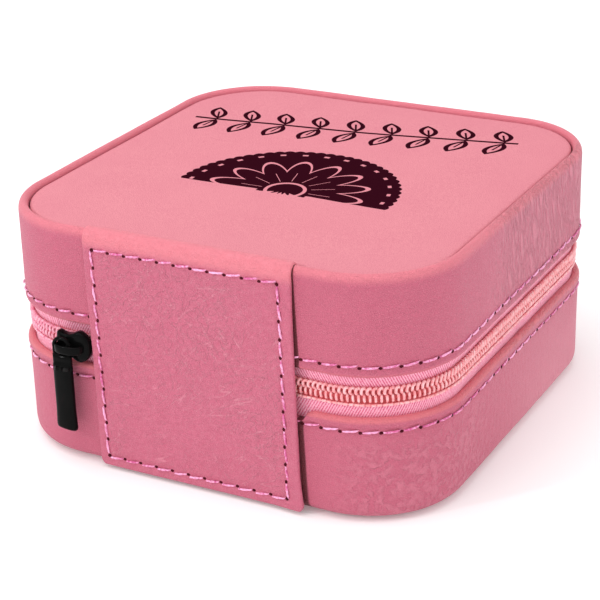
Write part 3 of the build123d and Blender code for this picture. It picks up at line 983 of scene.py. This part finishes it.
def makeHingePanel():
    over = curveThrough(hinge["over"], 0.4)
    down = np.column_stack([np.full(126, hinge["face"]),
                            np.linspace(50.5, hinge["foot"] + 0.5, 126)])
    tip = hinge["foot"] + np.array([0.36, 0.24, 0.13, 0.05, 0.0])
    path = np.vstack([over, down, np.column_stack([np.full(5, hinge["face"]), tip])])
    along = np.gradient(path, axis=0)
    along /= np.linalg.norm(along, axis=1)[:, None]
    facing = np.column_stack([-along[:, 1], along[:, 0]])
    half, thick, soft = panelHalf, hinge["thick"], hinge["round"]
    angle = np.linspace(0, math.pi, 9)
    flatX = np.r_[np.linspace(-half + soft, -half + 4, 14), np.linspace(-half + 4.6, half - 4.6, 60),
                  np.linspace(half - 4, half - soft, 14)]
    turnX, turnZ = soft * np.sin(angle), 0.5 * thick * np.cos(angle)
    loopX = np.r_[flatX, half - soft + turnX[1:-1], flatX[::-4], -half + soft - turnX[1:-1]]
    loopH = np.r_[np.zeros(len(flatX)), turnZ[1:-1] - thick / 2,
                  np.full(len(flatX[::-4]), -thick), -turnZ[1:-1] - thick / 2]
    upper = np.r_[np.ones(len(flatX)), np.zeros(len(loopX) - len(flatX))]
    edges = np.array(hinge["edge"])
    loops = []
    for (y, z), (ny, nz) in zip(path, facing):
        end = z - hinge["foot"] if y > 52 else 9.0
        squeeze = math.sqrt(max(0.0, 1 - (1 - min(end / 0.5, 1.0)) ** 2)) * 0.85 + 0.15
        narrow = 1 - 0.9 / half * (1 - min(end / 1.6, 1.0)) ** 2
        height = z if y > 50.2 else 54.0
        left, right = (np.interp(height, edges[:, 0], edges[:, side]) for side in (1, 2))
        x = np.where(loopX < 0, loopX * -left / half, loopX * right / half) * narrow
        h = (loopH + thick / 2) * squeeze - thick / 2
        points = np.column_stack([x, y + 0 * x, z + 0 * x])
        rows = hingeRows(z)
        beat = 0.5 + 0.5 * math.cos(2 * math.pi * (z - hinge["stitchFoot"]) / hinge["pitch"])
        groove = sum(np.exp(-((x - row) / 0.6) ** 2) for row in rows) * (0.75 + 0.4 * beat)
        inside = ((x > rows[0]) & (x < rows[1])) * 1.0
        for level in (hinge["stitchTop"], hinge["stitchFoot"]):
            if y > 51.9:
                groove = groove + inside * math.exp(-((z - level) / 0.6) ** 2)
        sewn = hinge["stitchFoot"] - 0.5 < z < hinge["stitchTop"] + 0.5
        h = h + hingeRise(points) - upper * groove * hinge["groove"] * sewn
        loops.append(np.column_stack([x, y + h * ny, z + h * nz]))
    made = loft("hinge_panel", loops, finish["panel"])
    return settle(made, hingeBend, "panel_leather", "hinge_panel_lid", "hinge_panel_base",
                  "hinge_panel_fold")


hingeBend = ("base", "lid", (0, halfDepth * mm, 24.2 * mm), (0, halfDepth * mm, 30.6 * mm))


def panelRows():
    # four rows of stitches on the hinge panel, each from corner to corner
    top, foot = hinge["stitchTop"], hinge["stitchFoot"]
    (topLeft, topRight), (footLeft, footRight) = hinge["rowTop"], hinge["rowFoot"]
    corners = [(topRight, top), (topLeft, top), (footLeft, foot), (footRight, foot)]
    threads, holes = [], []
    for index, (start, end) in enumerate(zip(corners, corners[1:] + corners[:1])):
        t = np.linspace(0, 1, 40)[:, None]
        flat = np.array(start) * (1 - t) + np.array(end) * t
        line = np.column_stack([flat[:, 0], np.full(40, 52.06), flat[:, 1]])
        line[:, 1] += hingeRise(line)
        facing = np.tile([0.0, 1.0, 0.0], (40, 1))
        row = stitchLine(f"row_{index}", line, facing, None, None, 30 + index, 0.12, hinge["pitch"])
        threads.append(row[0])
        holes.append(row[1])
    settle(joinMeshes("panel_stitches", threads), hingeBend, "panel_leather")
    settle(joinMeshes("panel_needle_holes", holes), hingeBend, "panel_leather")


def hemRows():
    # one row round each hem, from one edge of the hinge panel to the other
    for name, body, height, seed in (("lid_stitches", "lid", stitch["lidAt"], 41),
                                     ("base_stitches", "base", stitch["baseAt"], 42)):
        beat = girth / round(girth / stitch["pitch"])
        start = beat * round((panelHalf - 3) / beat)
        line, facing = onWall(start, girth - start, height, 0.0)
        thread, holes = stitchLine(name, line, facing, body, "side_leather", seed, 0.05, beat)
        settle(thread, body, "side_leather")
        settle(holes, body, "side_leather")


makeLidCover()
makeBaseCover()
makeTopPanel()
makeHingePanel()
panelRows()
hemRows()
print("leather covers and stitches made")


# One turn of the coil is a hook on the upper half and a stem and a bead on the lower
# half, each as (along, up, out) from the middle of the gap
zipper = {
    "pitch": 1.1,
    "inset": 1.05,
    "from": 20.0,
    "upperEnd": 33.53,
    "hook": [(0.1, 0.4, -0.3), (-0.12, 0.75, 0.16), (-0.1, 1.35, 0.26), (0.16, 1.84, 0.16),
             (0.52, 1.8, -0.04), (0.72, 1.4, -0.3)],
    "stem": [(0.36, 0.28, -0.35), (0.36, 0.05, 0.12), (0.4, -0.45, 0.2), (0.42, -0.95, 0.1),
             (0.42, -1.2, -0.4)],
    "bead": [(-0.46, -1.84, -0.12), (-0.2, -1.8, 0.14), (0.2, -1.78, 0.14), (0.46, -1.74, -0.12)],
}
tapeSection = {
    "lower": [(1.45, 17.2), (1.4, 20), (1.4, 23), (1.42, 24.4), (1.55, 25.6), (1.8, 26.8), (1.9, 27.36),
              (2.25, 27.36), (2.2, 25.8), (2.05, 24.2), (2.05, 20), (2.05, 17.2)],
    "upper": [(1.45, 37.6), (1.4, 35), (1.4, 32), (1.42, 30.4), (1.55, 29.2), (1.8, 28.0), (1.9, 27.44),
              (2.25, 27.44), (2.2, 29.0), (2.05, 30.6), (2.05, 35), (2.05, 37.6)],
}


def makeTapes():
    parts = (("lower", "base", zipper["from"]), ("upper", "lid", zipper["upperEnd"]))
    for name, body, gap in parts:
        def relief(s, inset, z, grid):
            return waves(grid, (0.1, 6.0, 51), (0.05, 2.4, 52)) * (abs(z - gapMiddle) < 6)
        profile = evenly(np.array(tapeSection[name] + tapeSection[name][:1]), 0.3, True)
        made = roundTheCase(f"zip_tape_{name}_cloth", profile, finish["tape"], zipper["from"],
                            girth - gap, 0.5, relief)
        settle(made, body, "zip_tape", f"zip_tape_{name}")


def coilShape(name, line, radius, sides=6):
    # one turn of nylon, as a bent rod
    loops = tubeLoops(curveThrough(line, 0.34), radius, sides)
    count = len(loops)
    faces = gridFaces(count, sides, False, True)
    faces += [tuple(range(sides)), tuple((count - 1) * sides + i for i in range(sides))]
    return template(name, np.vstack(loops), faces, finish["coil"])


def makeCoils():
    upper = coilShape("coil_upper_shape", zipper["hook"], 0.33)
    lower = coilShape("coil_lower_shape", zipper["stem"], 0.29)
    bead = coilShape("coil_bead_shape", zipper["bead"], 0.29)
    start = zipper["from"]
    for name, body, end, shapes in (("upper", "lid", zipper["upperEnd"], [upper]),
                                    ("lower", "base", zipper["from"], [lower, bead])):
        line, facing = onWall(start, girth - end, gapMiddle, zipper["inset"])
        made = [repeat(f"coil_{name}_{index}", line, facing, shape, zipper["pitch"], finish["coil"],
                       wobble=0.03, seed=60 + index) for index, shape in enumerate(shapes)]
        coil = joinMeshes(f"zip_coil_{name}_loops", made)
        settle(coil, body, "zip_coil", f"zip_coil_{name}")


def makeStubs():
    # where the upper tape and coil end behind the slider
    def relief(s, inset, z, grid):
        return waves(grid, (0.1, 6.0, 53), (0.05, 2.4, 54))
    profile = evenly(np.array(tapeSection["upper"] + tapeSection["upper"][:1]), 0.3, True)
    tape = roundTheCase("zip_tape_end_cloth", profile + (0.07, 0.0), finish["tape"],
                        girth - zipper["upperEnd"] - 0.6, girth - zipper["from"], 0.5, relief)
    bend = ("base", "lid", (0, halfDepth * mm, 29.4 * mm), (0, halfDepth * mm, 31.9 * mm))
    settle(tape, bend, "zip_tape", "zip_tape_end")
    shape = coilShape("coil_end_shape", zipper["hook"], 0.33)
    line, facing = onWall(girth - zipper["upperEnd"], girth - zipper["from"], gapMiddle,
                          zipper["inset"])
    coil = repeat("zip_coil_end_loops", line, facing, shape, zipper["pitch"], finish["coil"], seed=66)
    settle(coil, "base", "zip_coil", "zip_coil_end")


# The slider's plates are half an outline at each (depth, scale), and its arch is a line
# of (across, depth)
slider = {
    "at": (27.75, 27.15),
    "outline": [(-3.9, 0.0), (-3.72, 1.35), (-3.1, 2.45), (-2.2, 3.15), (-1.25, 3.42), (-0.35, 3.1),
                (0.7, 2.62), (1.8, 2.5), (2.75, 2.72), (3.45, 3.0), (3.9, 2.75), (4.05, 1.9),
                (4.1, 0.8)],
    "front": [(51.0, 0.94), (51.15, 1.0), (52.1, 1.0), (52.4, 0.98), (52.62, 0.93), (52.75, 0.85),
              (52.85, 0.7), (52.92, 0.45), (52.95, 0.15)],
    "rear": [(48.0, 0.94), (47.9, 1.0), (47.2, 1.0), (46.95, 0.93), (46.85, 0.8), (46.8, 0.3)],
    "bridgeHalf": 0.86,
    "bridge": [(25.35, 52.2), (25.4, 53.3), (25.9, 54.2), (27.2, 54.72), (28.8, 54.85), (30.3, 54.6),
               (31.0, 53.9), (31.1, 52.2)],
}


def plateLoops(whole, levels):
    # the plate's outline at each (depth, scale), which closes in over its rounded face
    loops = []
    for depth, scale in levels:
        flat = np.array(whole) * scale + slider["at"]
        loops.append(np.column_stack([flat[:, 0], np.full(len(flat), depth), flat[:, 1]]))
    return loops


def makeSlider():
    half = slider["outline"]
    whole = curveThrough(half + [(x, -z) for x, z in half[:0:-1]], 0.3, True)
    plate, inner = (loft(f"slider_{side}", plateLoops(whole, slider[side]), finish["black"])
                    for side in ("front", "rear"))
    angle = np.arange(16) * math.pi / 8
    post = [np.column_stack([slider["at"][0] - 2.2 + 0.9 * np.cos(angle), np.full(16, depth),
                             slider["at"][1] + 0.7 * np.sin(angle)]) for depth in (47.5, 49.5, 51.5)]
    neck = loft("slider_neck", post, finish["black"])
    settle(joinMeshes("slider_shell", [plate, inner, neck]), "slider", "black_metal", "slider_body")

    # the arch that the pull hangs from
    line = curveThrough(slider["bridge"], 0.3)
    along = np.gradient(line, axis=0)
    along /= np.linalg.norm(along, axis=1)[:, None]
    loops = []
    for index, ((x, y), (ax, ay)) in enumerate(zip(line, along)):
        share = index / (len(line) - 1)
        half = slider["bridgeHalf"] * (0.9 + 0.16 * math.sin(math.pi * share))
        wide = np.sign(np.cos(angle)) * np.abs(np.cos(angle)) ** 0.45 * half
        thick = np.sign(np.sin(angle)) * np.abs(np.sin(angle)) ** 0.7 * 0.36
        loops.append(np.column_stack([x - ay * thick, y + ax * thick, slider["at"][1] + wide]))
    bridge = loft("slider_arch", loops, finish["black"])
    settle(bridge, "slider", "black_metal", "slider_bridge")


pull = {
    "x": 29.75,
    "half": 2.22,
    "foot": 8.8,
    "frontY": 54.05,
    "rearY": 53.55,
    "domeTop": 23.3,
    "neckTop": 25.6,
    "eye": [(0.0, 1.75), (1.15, 1.45), (1.82, 0.55), (1.86, -0.6), (1.84, -1.6), (1.2, -2.2),
            (0.0, -2.3), (-1.2, -2.2), (-1.84, -1.6), (-1.86, -0.6), (-1.82, 0.55), (-1.15, 1.45)],
}


def makePull():
    # a flat blade, level by level, which widens and slants a little at its foot
    angle = np.linspace(0, math.pi, 15)
    levels = [0.0, 0.04, 0.14, 0.3, 0.55] + list(np.arange(1.2, pull["domeTop"] - pull["foot"], 1.2))
    levels = [pull["foot"] + level for level in levels]
    levels += [pull["domeTop"] - 0.25, pull["domeTop"], pull["domeTop"] + 0.3, 24.6, pull["neckTop"]]
    loops = []
    for z in levels:
        end = min(1.0, (z - pull["foot"]) / 0.55)
        soft = 0.86 + 0.14 * math.sqrt(1 - (1 - end) ** 2)
        bulge = 0.86 if z < pull["domeTop"] + 0.05 else 0.42
        half = (pull["half"] + 0.16 * smooth((14 - z) / 5)) * (1 - 0.06 * (1 - end))
        frontX = half * np.cos(angle)
        frontY = pull["frontY"] + bulge * soft * np.sin(angle) ** 0.75
        rearX = np.linspace(-half, half, 9)
        rearY = pull["rearY"] + 0.12 * (1 - soft) - 0.1 * np.cos(rearX / half * math.pi / 2)
        x = np.r_[frontX, rearX[0], rearX, rearX[-1]]
        y = np.r_[frontY, 53.75, rearY, 53.75]
        loops.append(np.column_stack([pull["x"] + x, y, z + 0.1 * x * (1 - smooth((z - 12) / 8))]))
    tab = loft("pull_blade", loops, finish["black"])
    eye = curveThrough(pull["eye"], 0.3, True)
    line = np.column_stack([pull["x"] + eye[:, 0], np.full(len(eye), 53.72), gapMiddle + eye[:, 1]])
    along = np.roll(line, -1, 0) - np.roll(line, 1, 0)
    along /= np.linalg.norm(along, axis=1)[:, None]
    turns = np.arange(10) * math.pi / 5
    rings = []
    for point, direction in zip(line, along):
        across = np.cross((0, 1, 0), direction)
        rings.append([point + 0.42 * math.cos(a) * across + np.array([0, 0.5 * math.sin(a), 0])
                      for a in turns])
    ring = piece("pull_eye", np.vstack(rings), gridFaces(len(rings), 10, True, True),
                 finish["black"])
    settle(joinMeshes("pull_tab_metal", [tab, ring]), "pull", "black_metal", "pull_tab")


makeStubs()
makeSlider()
makePull()
makeTapes()
makeCoils()
print("zip made")


def liningBand(name, profile, body, node, seed, slot="velvet"):
    def relief(s, inset, z, grid):
        return waves(grid, (0.16, 9.0, seed), (0.06, 3.0, seed + 1))
    section = evenly(np.array(profile + profile[:1], float), 0.7, True)
    made = roundTheCase(name, section, finish[slot], step=1.2, relief=relief)
    return settle(made, body, slot, node)


lining = {
    "base": [(5.95, 4.3), (5.95, 21.6), (5.8, 22.5), (5.2, 22.95), (4.2, 23.05), (2.9, 23.0),
             (2.3, 22.8), (2.15, 22.4), (2.7, 22.3), (4.3, 22.3), (4.5, 21.8), (4.5, 4.3)],
    "lid": [(5.3, 47.2), (5.3, 32.9), (5.15, 32.1), (4.6, 31.65), (3.6, 31.5), (2.7, 31.6), (2.25, 31.9),
            (2.15, 32.2), (2.8, 32.3), (4.3, 32.3), (4.5, 32.8), (4.5, 47.2)],
    "lip": [(6.02, 4.3), (6.02, 34.2), (6.15, 34.7), (6.5, 34.97), (7.0, 35.0), (7.4, 34.8), (7.6, 34.3),
            (7.6, 4.3)],
}


def makeLinings():
    liningBand("base_lining", lining["base"], "base", "base_wall_lining", 70)
    liningBand("lid_lining", lining["lid"], "lid", "lid_wall_lining", 72)
    liningBand("inner_lip", lining["lip"], "base", "base_lip", 74)

    def puff(grid):
        return waves(grid, (0.14, 9.0, 76), (0.06, 3.5, 77))

    # flat rounded layers: how far in each ring is, and how high
    inward = np.r_[5.4, 6.2, 7.0, 8.0, 9.2, 10.6, 12.2, 13.8, np.arange(15.5, 49.5, 2.0), 49.9]
    floorCloth = [(8.0, 3.5), (4.6, 3.52)]
    floorCloth += [(inset, 3.8 + 0.45 * smooth((inset - 4.6) / 3)) for inset in inward]
    ceiling = [(8.0, 48.0), (4.6, 47.98)]
    ceiling += [(inset, 47.7 - 0.4 * smooth((inset - 4.6) / 3)) for inset in inward]
    foam = [(7.0, 50.02), (4.5, 50.05), (4.32, 50.4), (4.5, 50.8), (5.2, 50.95)]
    foam += [(inset, 50.97) for inset in inward[2:]]
    under = [(6.0, 0.5), (4.4, 0.48), (4.05, 0.3), (4.2, 0.08), (4.8, 0.0)]
    under += [(inset, 0.05) for inset in inward[2:]]

    made = planRings("floor_cloth", floorCloth, finish["velvet"], 300, rise=puff)
    settle(made, "base", "velvet", "base_floor_lining")
    made = planRings("ceiling_cloth", ceiling, finish["velvet"], 300, rise=puff)
    settle(made, "lid", "velvet", "lid_ceiling_lining")
    made = planRings("foam_sheet", foam, finish["foam"], 240)
    settle(made, "lid", "foam", "lid_foam_pad")
    made = planRings("bottom_leather", under, finish["side"], 300)
    settle(made, "base", "side_leather", "base_bottom_cover")


def softBox(name, lowest, highest, material, radius=0.6, cut=2.0, swell=0.12, seed=80):
    # a board or strip with rounded edges and a slightly uneven cover
    size = np.array(highest) - np.array(lowest)
    middle = (np.array(highest) + np.array(lowest)) / 2
    counts = np.maximum(2, np.round(size / cut).astype(int))
    work = bmesh.new()
    radius = min(radius, size.min() / 2 * 0.98)
    edge = radius * np.sin(np.linspace(0, math.pi / 2, 4)[1:])
    axes = []
    for axis in range(3):
        reach = size[axis] / 2 - radius
        inner = np.linspace(-reach, reach, counts[axis] + 1)
        axes.append(np.r_[-reach - edge[::-1], inner, reach + edge])
    found = {}

    def corner(index):
        if index not in found:
            at = np.array([axes[axis][i] for axis, i in enumerate(index)])
            core = np.clip(at, -size / 2 + radius, size / 2 - radius)
            gap = at - core
            long = np.linalg.norm(gap)
            if long > 1e-9:
                at = core + gap / long * radius
            found[index] = work.verts.new(tuple(at + middle))
        return found[index]

    for axis in range(3):
        first, second = (axis + 1) % 3, (axis + 2) % 3
        for end in (0, len(axes[axis]) - 1):
            for i in range(len(axes[first]) - 1):
                for j in range(len(axes[second]) - 1):
                    ring = []
                    for di, dj in ((0, 0), (1, 0), (1, 1), (0, 1)):
                        index = [0, 0, 0]
                        index[axis], index[first], index[second] = end, i + di, j + dj
                        ring.append(corner(tuple(index)))
                    work.faces.new(ring)
    work.verts.ensure_lookup_table()
    work.verts.index_update()
    points = np.array([tuple(v.co) for v in work.verts])
    faces = [tuple(v.index for v in face.verts) for face in work.faces]
    work.free()
    facing = points - np.clip(points, middle - size / 2 + radius, middle + size / 2 - radius)
    facing /= np.linalg.norm(facing, axis=1)[:, None] + 1e-9
    points = points + facing * (swell * (ripple(points, 4.0, seed) - 0.3))[:, None]
    return piece(name, points, faces, material)


def fromNode(name, node, body, slot, material, **shape):
    made = softBox(name, low(node), high(node), finish[material], **shape)
    return settle(made, body, slot, node)


well = {
    "wall": 1.6,
    "guides": (-16.2, -12.8, 12.8, 16.2),
    "guideHalf": 0.6,
}


def makeWells():
    for index, end in enumerate(("front", "rear")):
        fromNode(f"{end}_divider_board", f"divider_{end}", f"{end}_divider", "velvet", "velvet",
                 seed=81 + index)
    first, last = low("ring_well_wall"), high("ring_well_wall")
    parts = [softBox("well_wall", first, (first.x + well["wall"], last.y, last.z),
                     finish["velvet"], seed=83)]
    posts = []
    for name, node, made, seed in (("rib", "ring_well_wall", parts, 84),
                                   ("post", "divider_guides", posts, 88)):
        first, last = low(node), high(node)
        left = first.x + 1.0 if name == "rib" else first.x
        for index, y in enumerate(well["guides"]):
            made.append(softBox(f"{name}_{index}", (left, y - well["guideHalf"], first.z),
                                (last.x, y + well["guideHalf"], last.z), finish["velvet"],
                                radius=0.35, seed=seed + index))
    settle(joinMeshes("ring_well_board", parts), "base", "velvet", "ring_well_wall")
    settle(joinMeshes("divider_posts", posts), "base", "velvet", "divider_guides")


roll = {
    "grown": 20,        # the cloth works at this many times the real size
    "half": (13.6, 4.3, 6.1),
    "voxel": 0.010,
    "pressure": 4.0,
    "cap": 0.012,       # no point moves further than this
    "frames": 20,
}


def makeRollForm():
    # one velvet roll, inflated as cloth at a larger scale and brought back to size
    half = np.array(roll["half"])
    form = softBox("roll_form", -half, half, finish["velvet"], radius=4.2, cut=1.6, swell=0.0)
    form.data.transform(Matrix.Scale(roll["grown"], 4))
    remesh = form.modifiers.new("even", "REMESH")
    remesh.mode = "VOXEL"
    remesh.voxel_size = roll["voxel"]
    ready = form.evaluated_get(bpy.context.evaluated_depsgraph_get())
    form.data = bpy.data.meshes.new_from_object(ready)
    form.modifiers.clear()
    before = np.array([v.co for v in form.data.vertices])
    cloth = form.modifiers.new("fill", "CLOTH")
    cloth.settings.use_pressure = True
    cloth.settings.uniform_pressure_force = roll["pressure"]
    cloth.settings.effector_weights.gravity = 0
    cloth.collision_settings.use_collision = False
    cloth.point_cache.frame_start = 1
    cloth.point_cache.frame_end = roll["frames"]
    for number in range(1, roll["frames"] + 1):
        bpy.context.scene.frame_set(number)
    ready = form.evaluated_get(bpy.context.evaluated_depsgraph_get())
    filled = bpy.data.meshes.new_from_object(ready)
    form.modifiers.clear()
    bpy.context.scene.frame_set(1)
    after = np.array([v.co for v in filled.vertices])
    moved = after - before
    far = np.linalg.norm(moved, axis=1)[:, None] + 1e-12
    after = before + moved * np.minimum(1.0, roll["cap"] / far)
    filled.vertices.foreach_set("co", after.ravel())
    form.data = filled
    rounded = form.modifiers.new("round", "SUBSURF")
    rounded.levels = rounded.render_levels = 1
    ready = form.evaluated_get(bpy.context.evaluated_depsgraph_get())
    form.data = bpy.data.meshes.new_from_object(ready)
    form.modifiers.clear()
    form.data.transform(Matrix.Scale(1 / roll["grown"], 4))
    return form


def makeRolls():
    form = makeRollForm()
    shape = np.array([v.co for v in form.data.vertices]) / mm
    faces = [tuple(face.vertices) for face in form.data.polygons]
    bpy.data.objects.remove(form)
    shape = (shape - shape.min(0)) / (shape.max(0) - shape.min(0))
    for index in range(1, 8):
        node = f"ring_roll_{index}"
        lowest, highest = np.array(low(node)), np.array(high(node))
        lowest, highest = lowest - (0, 0.2, 0), highest + (0, 0.2, 0.15)
        points = lowest + shape * (highest - lowest)
        crest = (points[:, 2] - lowest[2]) / (highest[2] - lowest[2])
        points[:, 2] += crest * 0.25 * ripple(points, 6.0, 120 + index)
        points[:, 1] += 0.16 * ripple(points, 3.0, 130 + index)
        made = piece(f"ring_roll_cushion_{index}", points, faces, finish["velvet"])
        settle(made, "base", "velvet", node)


def lathe(name, profile, centre, material, steps=24):
    # rings of (radius, height) turned about an upright line through centre
    angle = np.arange(steps) * 2 * math.pi / steps
    loops = [np.column_stack([centre[0] + max(r, 0.01) * np.cos(angle),
                              centre[1] + max(r, 0.01) * np.sin(angle), np.full(steps, z)])
             for r, z in profile]
    return loft(name, loops, material)


strap = {
    "pitch": 24,
    "anchorHalf": 4.2,
    "snapY": -19.0,
    "cap": [(0.1, 44.55), (1.4, 44.58), (2.3, 44.68), (2.8, 44.88), (3.0, 45.15), (2.9, 45.4),
            (2.4, 45.5), (0.1, 45.5)],
    "socket": [(0.1, 45.62), (0.9, 45.64), (1.18, 45.8), (1.2, 46.6), (1.5, 46.72), (2.3, 46.76),
               (2.5, 46.9), (2.5, 47.15), (0.1, 47.2)],
}


def makeStraps():
    sockets = []
    for index in (1, 2, 3):
        x = (index - 2) * strap["pitch"]
        node, body = f"necklace_tab_{index}", f"strap_{index}"
        fromNode(f"strap_leather_{index}", node, body, "strap_leather", "panel", radius=0.5, cut=1.2,
                 swell=0.1, seed=90 + index)
        cap = lathe(f"snap_cap_metal_{index}", strap["cap"], (x, strap["snapY"]), finish["snap"])
        settle(cap, body, "snap_metal", f"snap_cap_{index}")
        sockets.append(lathe(f"socket_{index}", strap["socket"], (x, strap["snapY"]), finish["snap"]))
    settle(joinMeshes("snap_socket_metal", sockets), "lid", "snap_metal", "snap_sockets")
    lowest, highest = low("necklace_tab_anchors"), high("necklace_tab_anchors")
    half = strap["anchorHalf"]
    blocks = [softBox(f"anchor_{x}", (x - half, lowest.y, lowest.z), (x + half, highest.y, highest.z),
                      finish["panel"], radius=0.5, cut=1.2, seed=95)
              for x in (-strap["pitch"], 0, strap["pitch"])]
    settle(joinMeshes("strap_anchor_leather", blocks), "lid", "strap_leather", "necklace_tab_anchors")


pocket = {
    "half": 39.6,
    "front": 5.4,
    "back": 45.2,
    "bulge": 4.6,
    "ruffle": 3.3,
    "deep": 0.75,
    "ceiling": 46.9,
    "turn": 13.6,       # the pocket's back corners are rounded by this much
    "hem": 6.0,
}


def makePocket():
    # gathered cloth that hangs between the ceiling and an elastic at its mouth
    columns, rows = 200, 60
    share = np.linspace(-1, 1, columns)
    grid = np.zeros((rows, columns, 3))
    for row in range(rows):
        v = row / (rows - 1)
        y = pocket["front"] + (pocket["back"] - pocket["front"]) * v
        corner = max(0.0, (y - 32.0) / pocket["turn"])
        half = pocket["half"] - pocket["turn"] * (1 - math.sqrt(max(0.0, 1 - corner ** 2)))
        x = share * half
        rim = np.clip((1 - np.abs(share)) * half / 5.0, 0, 1)
        drop = pocket["bulge"] * np.sqrt(1 - (1 - rim) ** 2) * math.sqrt(max(0.0, 1 - v ** 5))
        drop = drop * (0.93 + 0.14 * math.sin(math.pi * v))
        fold = pocket["deep"] * (1 - v) ** 1.4 * rim
        phase = 2 * math.pi * x / pocket["ruffle"]
        uneven = 1.4 * ripple(np.column_stack([x, 0 * x + y * 0.25, 0 * x]), 7.0, 101)
        ruffle = fold * np.sin(phase + uneven) + 0.5 * rim * (1 - v) * np.sin(phase * 0.37 + 1)
        grid[row] = np.column_stack([x, np.full(columns, y), pocket["ceiling"] - drop - ruffle])
    grid[:, :, 2] += waves(grid, (0.5, 12.0, 102), (0.14, 4.0, 103)) * np.clip(
        (pocket["ceiling"] - grid[:, :, 2]) / 3, 0, 1)
    grid[:, :, 2] = np.clip(grid[:, :, 2], 41.0, 47.1)
    made = piece("pocket_cloth", grid.reshape(-1, 3), gridFaces(rows, columns, False, False),
                 finish["pocket"])
    settle(made, "lid", "pocket_cloth", "lid_pocket")
    x = np.linspace(-pocket["half"], pocket["half"], 260)
    sag = 0.35 * np.sin(2 * math.pi * x / pocket["ruffle"]) + 0.25 * np.sin(x / 5)
    end = smooth((np.abs(x) - 35.5) / 4.5)
    line = np.column_stack([x, 5.2 + 0.2 * sag, 41.75 + 0.35 * sag + end * 5.0])
    radius = 0.72 + 0.16 * np.sin(2 * math.pi * x / pocket["ruffle"] * 1.5)
    elastic = loft("pocket_elastic_roll", tubeLoops(line, radius, 10), finish["pocket"])
    settle(elastic, "lid", "pocket_cloth", "pocket_elastic")


def makeHingeLining():
    lowest, highest = low("hinge_lining"), high("hinge_lining")
    made = softBox("hinge_strip", lowest, highest, finish["velvet"], radius=0.35, cut=0.8,
                   swell=0.1, seed=110)
    settle(made, hingeBend, "velvet", "hinge_lining")


makeLinings()
makeWells()
makeRolls()
makeStraps()
makePocket()
makeHingeLining()
print("inside made")

for shape in templates:
    bpy.data.objects.remove(shape)

# Every CAD node that still shows gets its finish
slotFinish = {
    "side_leather": "side", "top_leather": "top", "panel_leather": "panel", "strap_leather": "panel",
    "velvet": "velvet", "pocket_cloth": "pocket", "zip_tape": "tape", "zip_coil": "coil",
    "black_metal": "black", "snap_metal": "snap", "greyboard": "board", "foam": "foam",
}
for part in frame["record"]["subparts"]:
    mesh = frame["nodes"][part["node"]].data
    mesh.materials.clear()
    mesh.materials.append(finish[slotFinish[part["material_slot"]]])

studio = {
    "turn": 208.346,    # the camera's turn, height and tilt, in degrees
    "lift": 23.638,
    "tilt": -1.605,
    "lens": 112.4,
    "camera": (-179.06, 337.33, 188.89),
    "sky": 0.75,
    "floor": 0.93,
    "floorGlow": 0.13,
    "reach": 3000,
}


def makeCamera():
    turn, lift, tilt = (math.radians(studio[key]) for key in ("turn", "lift", "tilt"))
    flat = math.cos(lift)
    back = Vector((math.sin(turn) * flat, -math.cos(turn) * flat, math.sin(lift)))
    right = Vector((0, 0, 1)).cross(back).normalized()
    up = back.cross(right)
    axes = (right * math.cos(tilt) + up * math.sin(tilt),
            up * math.cos(tilt) - right * math.sin(tilt), back)
    lens = bpy.data.cameras.new("camera")
    lens.lens = studio["lens"]
    lens.sensor_width = 36
    lens.clip_start, lens.clip_end = 0.01, 20
    camera = bpy.data.objects.new("camera", lens)
    bpy.context.scene.collection.objects.link(camera)
    place = Matrix.Translation(Vector(studio["camera"]) * mm)
    camera.matrix_world = place @ Matrix(axes).transposed().to_4x4()
    return camera


def makeFloor():
    # a pale sheet that glows a little though it is no lamp, so that shadows stay faint: painted light, which also
    # brightens the case's lower walls
    far = studio["reach"]
    made = piece("floor", [(-far, -far, 0), (far, -far, 0), (far, far, 0), (-far, far, 0)],
                 [(0, 1, 2, 3)], None)
    paper = Shade("paper", Roughness=0.8, Specular_IOR_Level=0.2,
                  Base_Color=(studio["floor"],) * 3 + (1,), Emission_Color=(1, 1, 1, 1),
                  Emission_Strength=studio["floorGlow"])
    made.data.materials.clear()
    made.data.materials.append(paper.material)


def areaLight(name, place, target, size, power):
    data = bpy.data.lights.new(name, "AREA")
    data.shape = "SQUARE"
    data.size = size
    data.energy = power
    made = bpy.data.objects.new(name, data)
    bpy.context.scene.collection.objects.link(made)
    made.location = place
    made.rotation_euler = (Vector(target) - Vector(place)).to_track_quat("-Z", "Y").to_euler()


bpy.context.scene.camera = makeCamera()
bpy.context.scene.view_settings.view_transform = "Standard"
world = bpy.data.worlds.new("studio")
world.use_nodes = True
world.node_tree.nodes["Background"].inputs["Color"].default_value = (1, 1, 1, 1)
world.node_tree.nodes["Background"].inputs["Strength"].default_value = studio["sky"]
bpy.context.scene.world = world
for name, place, size, power in (("key", (0.15, 0.15, 0.75), 0.8, 3.3),
                                 ("fill", (0.12, 0.8, 0.3), 0.8, 0.6),
                                 ("side", (-0.9, -0.12, 0.28), 0.8, 2.0),
                                 ("glint", (0.42, 0.6, 0.42), 0.05, 1.0)):
    areaLight(name, place, (0, 0, 0.03), size, power)
makeFloor()
print("camera, lights and floor made")
